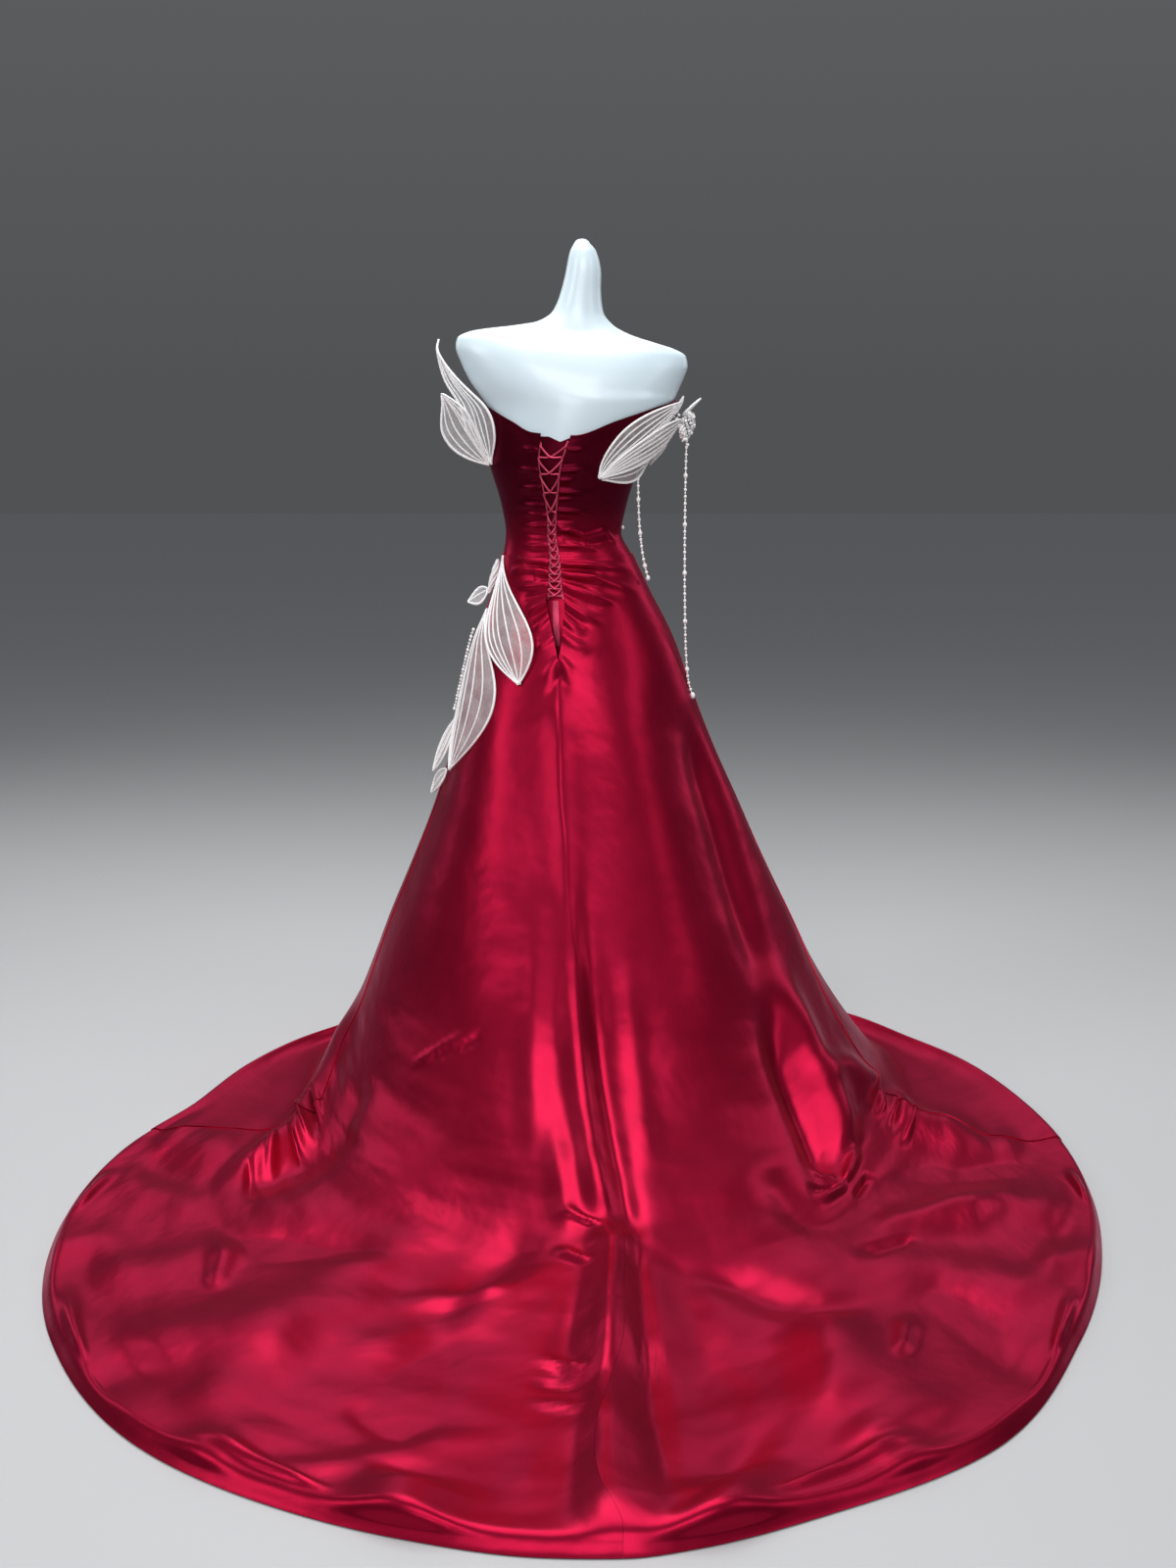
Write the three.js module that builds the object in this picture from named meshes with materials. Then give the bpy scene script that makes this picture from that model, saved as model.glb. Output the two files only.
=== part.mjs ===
// A strapless prom dress with a laced back and a round train, on a limbless dress form.
// Millimetres, +Z up. The origin is on the floor under the pole of the dress form.
// The back of the gown and its train face +Y. Angles run round the gown in degrees:
// 0 is the back, +90 is the +X side, 180 the front, -90 the -X side.
import * as THREE from "three";
import { mergeVertices } from "three/addons/utils/BufferGeometryUtils.js";

// Cloth and gaps
const SATIN_WALL = 2;
const ORGANZA_WALL = 1.2;
const RIB_RISE = 1.4;
const SEAM_GAP = 0.3;
const SKIRT_SEAM_GAP = 0.4;
const CLOTH_OFF_FORM = 3;
const PANEL_OFF_FORM = 0.6;
const PANEL_WALL = 1.2;

// Heights of the gown
const WAIST_Z = 1022;
const SLIT_END_Z = 838;
const LACING_END_Z = 946;
const CENTRE_BACK = 11;

// The panel behind the lacing: the height of its top at the dip, the angle of the dip, and how steeply
// and how far its top rises on both sides
const PANEL_TOP_Z = 1231;
const PANEL_DIP = 7;
const PANEL_SLOPE = 1.1;
const PANEL_RISE = 9.5;

// Lace
const LACE_RADIUS = 1.6;
const LACE_OFF_FORM = 6.6;
const LACE_CROSSING_RISE = 4.2;
const LACE_CROSSING_SHARE = 0.86;
const TAPE_WIDTH = 3;
const TAPE_GAP = 0.8;

// Dress form
const FORM_TOP_Z = 1594;
const FORM_BOTTOM_Z = 830;
const POLE_RADIUS = 12;
const BASE_RADIUS = 140;
const BASE_HEIGHT = 12;
const FORM_COLUMNS = 26;

// Bead strands
const STRAND_RADIUS = 2.2;

// The body of the dress form, a row for each level: half width, depths behind and in front of
// the pole, sideways shift of the middle, and the rise of the level towards +X (it leans a little).
const FORM_LEVELS = [
  { z: 830, half: 150, back: 118, front: 104, middle: 8, lean: 0 },
  { z: 880, half: 152, back: 120, front: 106, middle: 10, lean: 0 },
  { z: 940, half: 142, back: 112, front: 100, middle: 14, lean: 0 },
  { z: 985, half: 127, back: 99, front: 92, middle: 18, lean: 0 },
  { z: 1022, half: 115, back: 90, front: 84, middle: 21, lean: 0 },
  { z: 1061, half: 103, back: 84, front: 78, middle: 28, lean: 0 },
  { z: 1104, half: 110, back: 88, front: 84, middle: 27, lean: 0 },
  { z: 1180, half: 132, back: 98, front: 102, middle: 26, lean: 0 },
  { z: 1240, half: 152, back: 102, front: 118, middle: 12, lean: 0 },
  { z: 1300, half: 174, back: 103, front: 116, middle: -2, lean: 0 },
  { z: 1330, half: 192, back: 98, front: 102, middle: 8, lean: 0.05 },
  { z: 1360, half: 206, back: 90, front: 90, middle: 11, lean: 0.07 },
  { z: 1384, half: 214, back: 80, front: 78, middle: 12, lean: 0.08 },
  { z: 1401, half: 211, back: 70, front: 68, middle: 12, lean: 0.08 },
  { z: 1413, half: 190, back: 61, front: 58, middle: 11, lean: 0.085 },
  { z: 1422, half: 152, back: 55, front: 52, middle: 9, lean: 0.09 },
  { z: 1431, half: 108, back: 50, front: 47, middle: 7, lean: 0.09 },
  { z: 1444, half: 69, back: 46, front: 43, middle: 4, lean: 0.06 },
  { z: 1464, half: 47, back: 41, front: 39, middle: 0, lean: 0.03 },
  { z: 1500, half: 37, back: 36, front: 35, middle: -5, lean: 0 },
  { z: 1545, half: 31, back: 31, front: 30, middle: -10, lean: 0 },
  { z: 1572, half: 24, back: 24, front: 24, middle: -9, lean: 0 },
  { z: 1587, half: 14, back: 14, front: 14, middle: -7, lean: 0 },
];

// Top edge of the bodice round the body.
const NECKLINE = [
  { angle: -180, z: 1262 },
  { angle: -165, z: 1278 },
  { angle: -140, z: 1304 },
  { angle: -112, z: 1306 },
  { angle: -90, z: 1306 },
  { angle: -62, z: 1297 },
  { angle: -40, z: 1281 },
  { angle: -27, z: 1269 },
  { angle: -2, z: 1243 },
  { angle: 27, z: 1248 },
  { angle: 46, z: 1269 },
  { angle: 75, z: 1294 },
  { angle: 90, z: 1300 },
  { angle: 112, z: 1304 },
  { angle: 140, z: 1304 },
  { angle: 165, z: 1278 },
  { angle: 180, z: 1262 },
];

// Half the width of the laced opening, from the top edge to the end of the slit.
const OPENING = [
  { z: 838, half: 0 },
  { z: 868, half: 6 },
  { z: 905, half: 12 },
  { z: 946, half: 17 },
  { z: 960, half: 14 },
  { z: 1000, half: 12 },
  { z: 1050, half: 9.5 },
  { z: 1090, half: 10 },
  { z: 1141, half: 15.5 },
  { z: 1225, half: 27 },
  { z: 1250, half: 28 },
];

// The hanging skirt, a row for each level from the waist to the floor. seam is the angle of the
// centre back seam and side the angle of the side seams.
const SKIRT_LEVELS = [
  { row: 0, z: 1022, half: 119, back: 94, front: 88, middle: 21, seam: 11, side: 90 },
  { row: 1, z: 990, half: 130, back: 104, front: 97, middle: 17, seam: 11, side: 90 },
  { row: 2, z: 946, half: 147, back: 118, front: 107, middle: 13, seam: 11, side: 90 },
  { row: 3, z: 905, half: 166, back: 131, front: 116, middle: 10, seam: 10, side: 90 },
  { row: 4, z: 868, half: 182, back: 143, front: 124, middle: 8, seam: 9, side: 90 },
  { row: 5, z: 838, half: 192, back: 152, front: 130, middle: 6, seam: 9, side: 90 },
  { row: 6, z: 790, half: 206, back: 168, front: 140, middle: 3, seam: 9, side: 89 },
  { row: 7, z: 720, half: 227, back: 197, front: 156, middle: -2, seam: 9, side: 88 },
  { row: 8, z: 630, half: 256, back: 245, front: 182, middle: -8, seam: 9, side: 87 },
  { row: 9, z: 530, half: 294, back: 306, front: 214, middle: -14, seam: 7, side: 86 },
  { row: 10, z: 430, half: 337, back: 374, front: 250, middle: -17, seam: 5, side: 84 },
  { row: 11, z: 330, half: 383, back: 450, front: 286, middle: -21, seam: 3, side: 82 },
  { row: 12, z: 240, half: 422, back: 534, front: 318, middle: -26, seam: 2, side: 80 },
  { row: 13, z: 160, half: 462, back: 634, front: 348, middle: -34, seam: 1, side: 78 },
  { row: 14, z: 100, half: 496, back: 728, front: 374, middle: -42, seam: 0.5, side: 76 },
  { row: 15, z: 63, half: 520, back: 806, front: 392, middle: -47, seam: 0, side: 74 },
  { row: 16, z: 36, half: 542, back: 872, front: 408, middle: -50, seam: -1, side: 72 },
  { row: 17, z: 22, half: 566, back: 928, front: 428, middle: -52, seam: -2, side: 70 },
];

// The lying train: how far along each row is from where the skirt meets the floor to the hem, and how
// high the cloth lies there, which rolls over into the hem.
const TRAIN_LEVELS = [
  { row: 17, share: 0, lift: 22, seam: -2, side: 70 },
  { row: 17.5, share: 0.06, lift: 13, seam: -2, side: 69.5 },
  { row: 18, share: 0.14, lift: 7.5, seam: -2, side: 69 },
  { row: 19, share: 0.32, lift: 4, seam: -2, side: 68 },
  { row: 20, share: 0.51, lift: 3, seam: -1, side: 67 },
  { row: 21, share: 0.7, lift: 5, seam: -0.5, side: 66 },
  { row: 22, share: 0.86, lift: 11, seam: -1, side: 65 },
  { row: 23, share: 0.965, lift: 18, seam: -2, side: 65 },
  { row: 24, share: 1, lift: 0, seam: -2, side: 65 },
];
const FLOOR_ROW = 17;
const HEM_ROW = 24;

// Reach of the hem from the origin, round the floor.
const HEM = [
  { angle: -180, reach: 520 },
  { angle: -150, reach: 560 },
  { angle: -118, reach: 657 },
  { angle: -105, reach: 690 },
  { angle: -92, reach: 760 },
  { angle: -77, reach: 852 },
  { angle: -63, reach: 969 },
  { angle: -47, reach: 1138 },
  { angle: -32, reach: 1341 },
  { angle: -20, reach: 1528 },
  { angle: -11, reach: 1603 },
  { angle: -5, reach: 1652 },
  { angle: -2, reach: 1666 },
  { angle: 1, reach: 1664 },
  { angle: 7, reach: 1638 },
  { angle: 14, reach: 1591 },
  { angle: 21, reach: 1527 },
  { angle: 33, reach: 1355 },
  { angle: 47, reach: 1131 },
  { angle: 60, reach: 930 },
  { angle: 73, reach: 748 },
  { angle: 88, reach: 660 },
  { angle: 103, reach: 598 },
  { angle: 118, reach: 552 },
  { angle: 150, reach: 528 },
  { angle: 180, reach: 520 },
];

// The largest folds. Each runs straight from one row and angle to another, is as wide as width
// on each side and rises by rise (a trough has a negative rise).
const FOLDS = [
  { name: "centre seam high", from: 5.5, at: 9, to: 12, end: 2.5, width: 26, rise: 6 },
  { name: "centre ridge high", from: 10, at: 4.5, to: 16.5, end: 0, width: 36, rise: 16 },
  { name: "centre ridge low", from: 15.5, at: 0, to: 20.5, end: -1.5, width: 44, rise: 26 },
  { name: "centre ridge hem", from: 19.5, at: -1.2, to: 23.4, end: -2, width: 44, rise: 24 },
  { name: "centre slope", from: 12, at: 1, to: 20.5, end: -1.5, width: 250, rise: 26 },
  { name: "beside the centre", from: 9, at: 1, to: 17.5, end: -4.5, width: 30, rise: -14 },
  { name: "left slope", from: 13.5, at: 45, to: 20, end: 42, width: 190, rise: 16 },
  { name: "right slope", from: 13.5, at: -27, to: 20, end: -25, width: 150, rise: 14 },
  { name: "right hip fold", from: 6.5, at: -66, to: 12, end: -48, width: 46, rise: -22 },
  { name: "right fold foot", from: 11.5, at: -49, to: 16.4, end: -43, width: 55, rise: -38 },
  { name: "right fold lip", from: 11, at: -57, to: 16, end: -52, width: 55, rise: 26 },
  { name: "right ridge", from: 13, at: -60, to: 15.5, end: -73, width: 60, rise: 26 },
  { name: "right ridge lying", from: 15.2, at: -73, to: 20.5, end: -65, width: 62, rise: 34 },
  { name: "left fold", from: 12.5, at: 84, to: 17.5, end: 76, width: 55, rise: 20 },
  { name: "left fold lying", from: 16.3, at: 77, to: 20, end: 52, width: 58, rise: 34 },
  { name: "left fold inner", from: 16, at: 62, to: 20, end: 50, width: 50, rise: -14 },
  { name: "train ridge left", from: 18.5, at: 22, to: 22.5, end: 30, width: 85, rise: 20 },
  { name: "train ridge right", from: 19, at: -20, to: 22.6, end: -17, width: 90, rise: 18 },
  { name: "train ridge side", from: 18.5, at: -45, to: 22.5, end: -50, width: 85, rise: 18 },
  { name: "train ridge far", from: 19, at: 60, to: 22.6, end: 66, width: 75, rise: 16 },
  { name: "hem lift left", from: 21.8, at: 8, to: 23.6, end: 7, width: 60, rise: 22 },
  { name: "hem lift right", from: 21.6, at: -7, to: 23.6, end: -6, width: 60, rise: 24 },
  { name: "front fold left", from: 8, at: 150, to: 17, end: 146, width: 60, rise: 22 },
  { name: "front fold right", from: 8, at: -150, to: 17, end: -146, width: 60, rise: 22 },
];

// Lace crossings: the height of each pair of loops.
const LACE_LEVELS = [1224, 1201, 1171, 1137, 1103, 1079, 1063, 1047, 1032, 1018, 1004, 991, 978, 965, 953];

const satin = new THREE.MeshStandardMaterial({ color: 0x8c0f2d, roughness: 0.35, metalness: 0 });
const organza = new THREE.MeshStandardMaterial({ color: 0xf0eaea, roughness: 0.6, metalness: 0 });
const shell = new THREE.MeshStandardMaterial({ color: 0xeaf4f8, roughness: 0.2, metalness: 0 });
const pearl = new THREE.MeshStandardMaterial({ color: 0xf4efe4, roughness: 0.25, metalness: 0 });
const steel = new THREE.MeshStandardMaterial({ color: 0xb8bcc0, roughness: 0.3, metalness: 1 });

const radians = THREE.MathUtils.degToRad;
const dress = new THREE.Group();

// Slopes for a cubic through the rows of a table that never overshoots its values.
function slopesOf(table, along, key) {
  const steps = table.slice(1).map((row, i) => {
    return (row[key] - table[i][key]) / (row[along] - table[i][along]);
  });
  return table.map((_, i) => {
    if (i === 0) return steps[0];
    if (i === table.length - 1) return steps[i - 1];
    const a = steps[i - 1];
    const b = steps[i];
    return a * b <= 0 ? 0 : (2 * a * b) / (a + b);
  });
}

const slopeCache = new Map();

// The value of one column of a table, on a smooth curve through its rows.
function smooth(table, along, key, at) {
  const label = key + table.length + along;
  if (!slopeCache.has(table)) slopeCache.set(table, {});
  const cache = slopeCache.get(table);
  if (!cache[label]) cache[label] = slopesOf(table, along, key);
  const slopes = cache[label];
  const last = table.length - 1;
  const here = Math.min(Math.max(at, table[0][along]), table[last][along]);
  let i = 0;
  while (i < last - 1 && here > table[i + 1][along]) i += 1;
  const span = table[i + 1][along] - table[i][along];
  const u = (here - table[i][along]) / span;
  const a = table[i][key];
  const b = table[i + 1][key];
  return (
    a * (2 * u ** 3 - 3 * u ** 2 + 1) +
    b * (3 * u ** 2 - 2 * u ** 3) +
    span * (slopes[i] * (u ** 3 - 2 * u ** 2 + u) + slopes[i + 1] * (u ** 3 - u ** 2))
  );
}

function wrapped(angle) {
  return ((((angle + 180) % 360) + 360) % 360) - 180;
}

// A point on a level of the body, moved out sideways from its surface by off.
function bodyPoint(angle, z, off) {
  const s = Math.sin(radians(angle));
  const c = Math.cos(radians(angle));
  const half = smooth(FORM_LEVELS, "z", "half", z);
  const depth = smooth(FORM_LEVELS, "z", c > 0 ? "back" : "front", z);
  const out = new THREE.Vector2(s / half, c / depth).normalize();
  const x = half * s + off * out.x;
  return new THREE.Vector3(
    smooth(FORM_LEVELS, "z", "middle", z) + x,
    depth * c + off * out.y,
    z + smooth(FORM_LEVELS, "z", "lean", z) * x,
  );
}

// How much the folds lift the skirt at a row and an angle, where a degree is so many millimetres.
function foldRise(row, angle, degree) {
  let rise = 0;
  for (const fold of FOLDS) {
    const share = (row - fold.from) / (fold.to - fold.from);
    if (share <= 0 || share >= 1) continue;
    const centre = fold.at + (fold.end - fold.at) * share;
    const away = (wrapped(angle - centre) * degree) / fold.width;
    const fade = Math.min(1, 3.2 * share, 3.2 * (1 - share));
    rise += fold.rise * Math.exp(-away * away) * fade * fade * (3 - 2 * fade);
  }
  return rise;
}

// The plain skirt and train before their folds: the underside of the cloth.
function plainSkirt(row, angle) {
  const s = Math.sin(radians(angle));
  const c = Math.cos(radians(angle));
  const level = Math.min(row, FLOOR_ROW);
  const half = smooth(SKIRT_LEVELS, "row", "half", level);
  const depth = smooth(SKIRT_LEVELS, "row", c > 0 ? "back" : "front", level);
  const middle = smooth(SKIRT_LEVELS, "row", "middle", level);
  const point = new THREE.Vector3(
    middle + half * s,
    depth * c,
    smooth(SKIRT_LEVELS, "row", "z", level),
  );
  if (row > FLOOR_ROW) {
    const share = smooth(TRAIN_LEVELS, "row", "share", row);
    const reach = smooth(HEM, "angle", "reach", wrapped(angle));
    point.x += (reach * s - point.x) * share;
    point.y += (reach * c - point.y) * share;
    point.z = smooth(TRAIN_LEVELS, "row", "lift", row);
  }
  return point;
}

function outwardOf(surface, row, angle) {
  const along = surface(row + 0.05, angle).sub(surface(row - 0.05, angle));
  const round = surface(row, angle + 0.4).sub(surface(row, angle - 0.4));
  return round.cross(along).normalize();
}

// The underside of the folded cloth. It never goes below the floor.
function skirtPoint(row, angle) {
  const point = plainSkirt(row, angle);
  const degree = Math.hypot(point.x, point.y) * radians(1);
  const out = outwardOf(plainSkirt, row, angle);
  point.addScaledVector(out, foldRise(row, angle, degree));
  point.z = Math.max(point.z, 0);
  return point;
}

// The direction in which the cloth gets its thickness: level at the waist, square to it below.
function skirtOut(row, angle) {
  const out = outwardOf(skirtPoint, Math.max(row, 0.06), angle);
  out.z *= Math.min(1, row / 3);
  return out.normalize();
}

// A closed wall from a grid of inside points and the outside points over them.
function wallMesh(name, material, inside, outside, closed) {
  const rows = inside.length;
  const columns = inside[0].length;
  const points = [...inside.flat(), ...outside.flat()];
  const faces = [];
  const inner = (i, j) => i * columns + (j % columns);
  const outer = (i, j) => rows * columns + inner(i, j);
  const quad = (a, b, c, d) => faces.push(a, b, c, a, c, d);
  const spans = closed ? columns : columns - 1;
  for (let i = 0; i < rows - 1; i += 1) {
    for (let j = 0; j < spans; j += 1) {
      quad(outer(i, j), outer(i + 1, j), outer(i + 1, j + 1), outer(i, j + 1));
      quad(inner(i, j), inner(i, j + 1), inner(i + 1, j + 1), inner(i + 1, j));
    }
  }
  for (let j = 0; j < spans; j += 1) {
    quad(inner(0, j), outer(0, j), outer(0, j + 1), inner(0, j + 1));
    quad(inner(rows - 1, j), inner(rows - 1, j + 1), outer(rows - 1, j + 1), outer(rows - 1, j));
  }
  if (!closed) {
    const end = columns - 1;
    for (let i = 0; i < rows - 1; i += 1) {
      quad(inner(i, 0), inner(i + 1, 0), outer(i + 1, 0), outer(i, 0));
      quad(inner(i, end), outer(i, end), outer(i + 1, end), inner(i + 1, end));
    }
  }
  return solidMesh(name, material, points, faces);
}

// A mesh from points and faces, turned right way out.
function solidMesh(name, material, points, faces) {
  let volume = 0;
  for (let i = 0; i < faces.length; i += 3) {
    const [a, b, c] = [points[faces[i]], points[faces[i + 1]], points[faces[i + 2]]];
    volume += a.dot(b.clone().cross(c));
  }
  if (volume < 0) faces.reverse();
  const plain = new THREE.BufferGeometry().setFromPoints(points).setIndex(faces);
  const geometry = mergeVertices(plain, 1e-3);
  geometry.computeVertexNormals();
  const mesh = new THREE.Mesh(geometry, material);
  mesh.name = name;
  dress.add(mesh);
  return mesh;
}

function range(count, from, to) {
  return Array.from({ length: count + 1 }, (_, i) => from + ((to - from) * i) / count);
}

// A piece of cloth over the body between two edges, each given as an angle for a height.
function bodyPanel(name, material, shape) {
  const { fromAngle, toAngle, columns, rows, bottom, top, off, wall } = shape;
  const grid = (lift) =>
    range(rows, 0, 1).map((up) =>
      range(columns, 0, 1).map((across) => {
        const guess = fromAngle(bottom) + (toAngle(bottom) - fromAngle(bottom)) * across;
        let z = bottom + (top(guess) - bottom) * up;
        const angle = fromAngle(z) + (toAngle(z) - fromAngle(z)) * across;
        z = bottom + (top(angle) - bottom) * up;
        return bodyPoint(angle, z, off + lift);
      }),
    );
  return wallMesh(name, material, grid(0), grid(wall), false);
}

function openingHalf(z) {
  return Math.max(smooth(OPENING, "z", "half", z), SEAM_GAP / 2);
}

// The angle that lies a distance to one side of the centre back, on a ring of some half width.
function besideCentre(centre, distance, half) {
  return centre + THREE.MathUtils.radToDeg(distance / half);
}

// The edge of the bodice at the lacing, or a line a little inside it where inset is over 0.
function openingAngle(z, side, inset) {
  const half = smooth(FORM_LEVELS, "z", "half", z) + CLOTH_OFF_FORM;
  return besideCentre(CENTRE_BACK, side * (openingHalf(z) - inset), half);
}

const neckline = (angle) => smooth(NECKLINE, "angle", "z", wrapped(angle));

// Bodice
function makeBodice() {
  const sideGap = THREE.MathUtils.radToDeg(SEAM_GAP / 2 / 80);
  const shape = { rows: 9, bottom: WAIST_Z + SEAM_GAP, top: neckline, off: CLOTH_OFF_FORM };
  bodyPanel("bodice_back_left", satin, {
    ...shape,
    wall: SATIN_WALL,
    columns: 9,
    fromAngle: (z) => openingAngle(z, 1, 0),
    toAngle: () => 90 - sideGap,
  });
  bodyPanel("bodice_back_right", satin, {
    ...shape,
    wall: SATIN_WALL,
    columns: 11,
    fromAngle: () => -90 + sideGap,
    toAngle: (z) => openingAngle(z, -1, 0),
  });
  bodyPanel("bodice_front", satin, {
    ...shape,
    wall: SATIN_WALL,
    columns: 20,
    fromAngle: () => 90 + sideGap,
    toAngle: () => 270 - sideGap,
  });
  bodyPanel("modesty_panel", satin, {
    rows: 20,
    columns: 12,
    bottom: SLIT_END_Z - 12,
    top: (angle) => PANEL_TOP_Z + Math.min(Math.abs(angle - PANEL_DIP) * PANEL_SLOPE, PANEL_RISE),
    off: PANEL_OFF_FORM,
    wall: PANEL_WALL,
    fromAngle: () => CENTRE_BACK - 20,
    toAngle: () => CENTRE_BACK + 20,
  });
}

// One panel of the skirt, between two edges that are given as an angle for a row.
function skirtPanel(name, columns, fromAngle, toAngle) {
  const rows = range(HEM_ROW, 0, HEM_ROW);
  const inside = rows.map((row) =>
    range(columns, 0, 1).map((across) => {
      const angle = fromAngle(row) + (toAngle(row) - fromAngle(row)) * across;
      return { point: skirtPoint(row, angle), out: skirtOut(row, angle) };
    }),
  );
  const points = inside.map((line) => line.map(({ point }) => point));
  const outside = inside.map((line) =>
    line.map(({ point, out }) => point.clone().addScaledVector(out, SATIN_WALL)),
  );
  return wallMesh(name, satin, points, outside, false);
}

// A seam's angle at a row, less half the seam gap, or less half the laced opening above the slit's end.
function seamEdge(column, row, sign, side) {
  const table = row <= FLOOR_ROW ? SKIRT_LEVELS : TRAIN_LEVELS;
  const angle = sign * smooth(table, "row", column, row);
  const z = smooth(SKIRT_LEVELS, "row", "z", Math.min(row, FLOOR_ROW));
  const degree = skirtPoint(row, angle + 0.5).distanceTo(skirtPoint(row, angle - 0.5));
  const away = column === "seam" && z > SLIT_END_Z ? openingHalf(z) : SKIRT_SEAM_GAP / 2;
  return angle + (side * away) / degree;
}

// Skirt and train
function makeSkirt() {
  const centre = (side) => (row) => seamEdge("seam", row, 1, side);
  const seam = (sign, side) => (row) => seamEdge("side", row, sign, side);
  skirtPanel("skirt_back_left", 17, centre(1), seam(1, -1));
  skirtPanel("skirt_back_right", 18, seam(-1, 1), centre(-1));
  skirtPanel("skirt_front", 16, seam(1, 1), (row) => 360 + seam(-1, -1)(row));
}

// A solid through closed rings of points, with a middle point at each end.
function ringSolid(name, material, rings) {
  const count = rings[0].length;
  const middleOf = (ring) => {
    const sum = ring.reduce((total, p) => total.add(p), new THREE.Vector3());
    return sum.divideScalar(ring.length);
  };
  const points = rings.flat();
  const start = points.push(middleOf(rings[0])) - 1;
  const end = points.push(middleOf(rings.at(-1))) - 1;
  const faces = [];
  for (let j = 0; j < count; j += 1) {
    const next = (j + 1) % count;
    for (let i = 0; i < rings.length - 1; i += 1) {
      const [a, b] = [i * count + j, i * count + next];
      faces.push(a, a + count, b + count, a, b + count, b);
    }
    const last = (rings.length - 1) * count;
    faces.push(start, j, next, end, last + next, last + j);
  }
  return solidMesh(name, material, points, faces);
}

function addGeometry(name, material, geometry) {
  const triangles = geometry.index ? geometry.toNonIndexed() : geometry;
  const flat = triangles.getAttribute("position");
  const points = [];
  for (let i = 0; i < flat.count; i += 1) {
    points.push(new THREE.Vector3().fromBufferAttribute(flat, i));
  }
  return solidMesh(name, material, points, [...points.keys()]);
}

// Dress form: body, pole and round base
function makeForm() {
  const levels = FORM_LEVELS.slice(1).flatMap(({ z }, i) => {
    const below = FORM_LEVELS[i].z;
    return z - below > 30 ? [(z + below) / 2, z] : [z];
  });
  const turns = Array.from({ length: FORM_COLUMNS }, (_, k) => (360 * k) / FORM_COLUMNS);
  const rings = [FORM_BOTTOM_Z, ...levels].map((z) => turns.map((angle) => bodyPoint(angle, z, 0)));
  const top = rings.at(-1).map((p) => new THREE.Vector3((p.x - 7) / 2, p.y / 2, FORM_TOP_Z));
  ringSolid("form_torso", shell, [...rings, top]);
  const poleHeight = FORM_BOTTOM_Z - BASE_HEIGHT - 2 * SEAM_GAP;
  const pole = new THREE.CylinderGeometry(POLE_RADIUS, POLE_RADIUS, poleHeight, 16);
  pole.rotateX(Math.PI / 2).translate(0, 0, BASE_HEIGHT + SEAM_GAP + poleHeight / 2);
  addGeometry("form_pole", steel, pole);
  const base = new THREE.CylinderGeometry(BASE_RADIUS - 3, BASE_RADIUS, BASE_HEIGHT, 40);
  base.rotateX(Math.PI / 2).translate(0, 0, BASE_HEIGHT / 2);
  addGeometry("form_base", steel, base);
}

// A round cord through points.
function cord(name, material, points, radius, sides, steps) {
  const section = new THREE.Shape();
  range(sides - 1, 0, sides - 1).forEach((k) => {
    const turn = (2 * Math.PI * k) / sides;
    const corner = [radius * Math.cos(turn), radius * Math.sin(turn)];
    if (k === 0) section.moveTo(...corner);
    else section.lineTo(...corner);
  });
  const extrudePath = new THREE.CatmullRomCurve3(points, false, "centripetal");
  const geometry = new THREE.ExtrudeGeometry(section, { steps, extrudePath, curveSegments: 1 });
  return addGeometry(name, material, geometry);
}

// How far the middle of the lace lies from the body: more below the waist, where the skirt flares.
function laceOff(z) {
  return LACE_OFF_FORM + 3.4 * THREE.MathUtils.smoothstep(WAIST_Z + 20 - z, 0, 90);
}

function lacePoint(side, z, rise) {
  const inset = side === 0 ? openingHalf(z) : TAPE_WIDTH / 2 + TAPE_GAP;
  return bodyPoint(openingAngle(z, side || 1, inset), z, laceOff(z) + rise);
}

// Lacing: a bound tape along each edge and two runs of cord that cross between the levels
function makeLacing() {
  for (const [name, side] of [["loop_tape_left", 1], ["loop_tape_right", -1]]) {
    const inner = (z) => openingAngle(z, side, TAPE_GAP + TAPE_WIDTH);
    const outer = (z) => openingAngle(z, side, TAPE_GAP);
    bodyPanel(name, satin, {
      rows: 14,
      columns: 1,
      bottom: LACING_END_Z,
      top: () => LACE_LEVELS[0] + 8,
      off: CLOTH_OFF_FORM,
      wall: 1.6,
      fromAngle: side > 0 ? inner : outer,
      toAngle: side > 0 ? outer : inner,
    });
  }
  for (const [name, first, over] of [["lace_one", 1, LACE_CROSSING_RISE], ["lace_two", -1, 0]]) {
    const points = [];
    LACE_LEVELS.forEach((z, i) => {
      const side = i % 2 ? -first : first;
      points.push(lacePoint(side, z, 0));
      if (i === LACE_LEVELS.length - 1) return;
      const drop = z - LACE_LEVELS[i + 1];
      points.push(lacePoint(0, z - LACE_CROSSING_SHARE * drop, over));
    });
    cord(name, satin, points, LACE_RADIUS, 6, 70);
  }
  bodyPanel("lace_tail", satin, {
    rows: 6,
    columns: 1,
    bottom: 862,
    top: () => 944,
    off: PANEL_OFF_FORM + PANEL_WALL + SEAM_GAP,
    wall: PANEL_WALL,
    fromAngle: () => CENTRE_BACK - 2,
    toAngle: () => CENTRE_BACK + 2.2,
  });
}

// The row of the skirt at a height.
function rowAt(z) {
  let low = 0;
  let high = FLOOR_ROW;
  for (let i = 0; i < 30; i += 1) {
    const middle = (low + high) / 2;
    if (smooth(SKIRT_LEVELS, "row", "z", middle) > z) low = middle;
    else high = middle;
  }
  return low;
}

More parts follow.
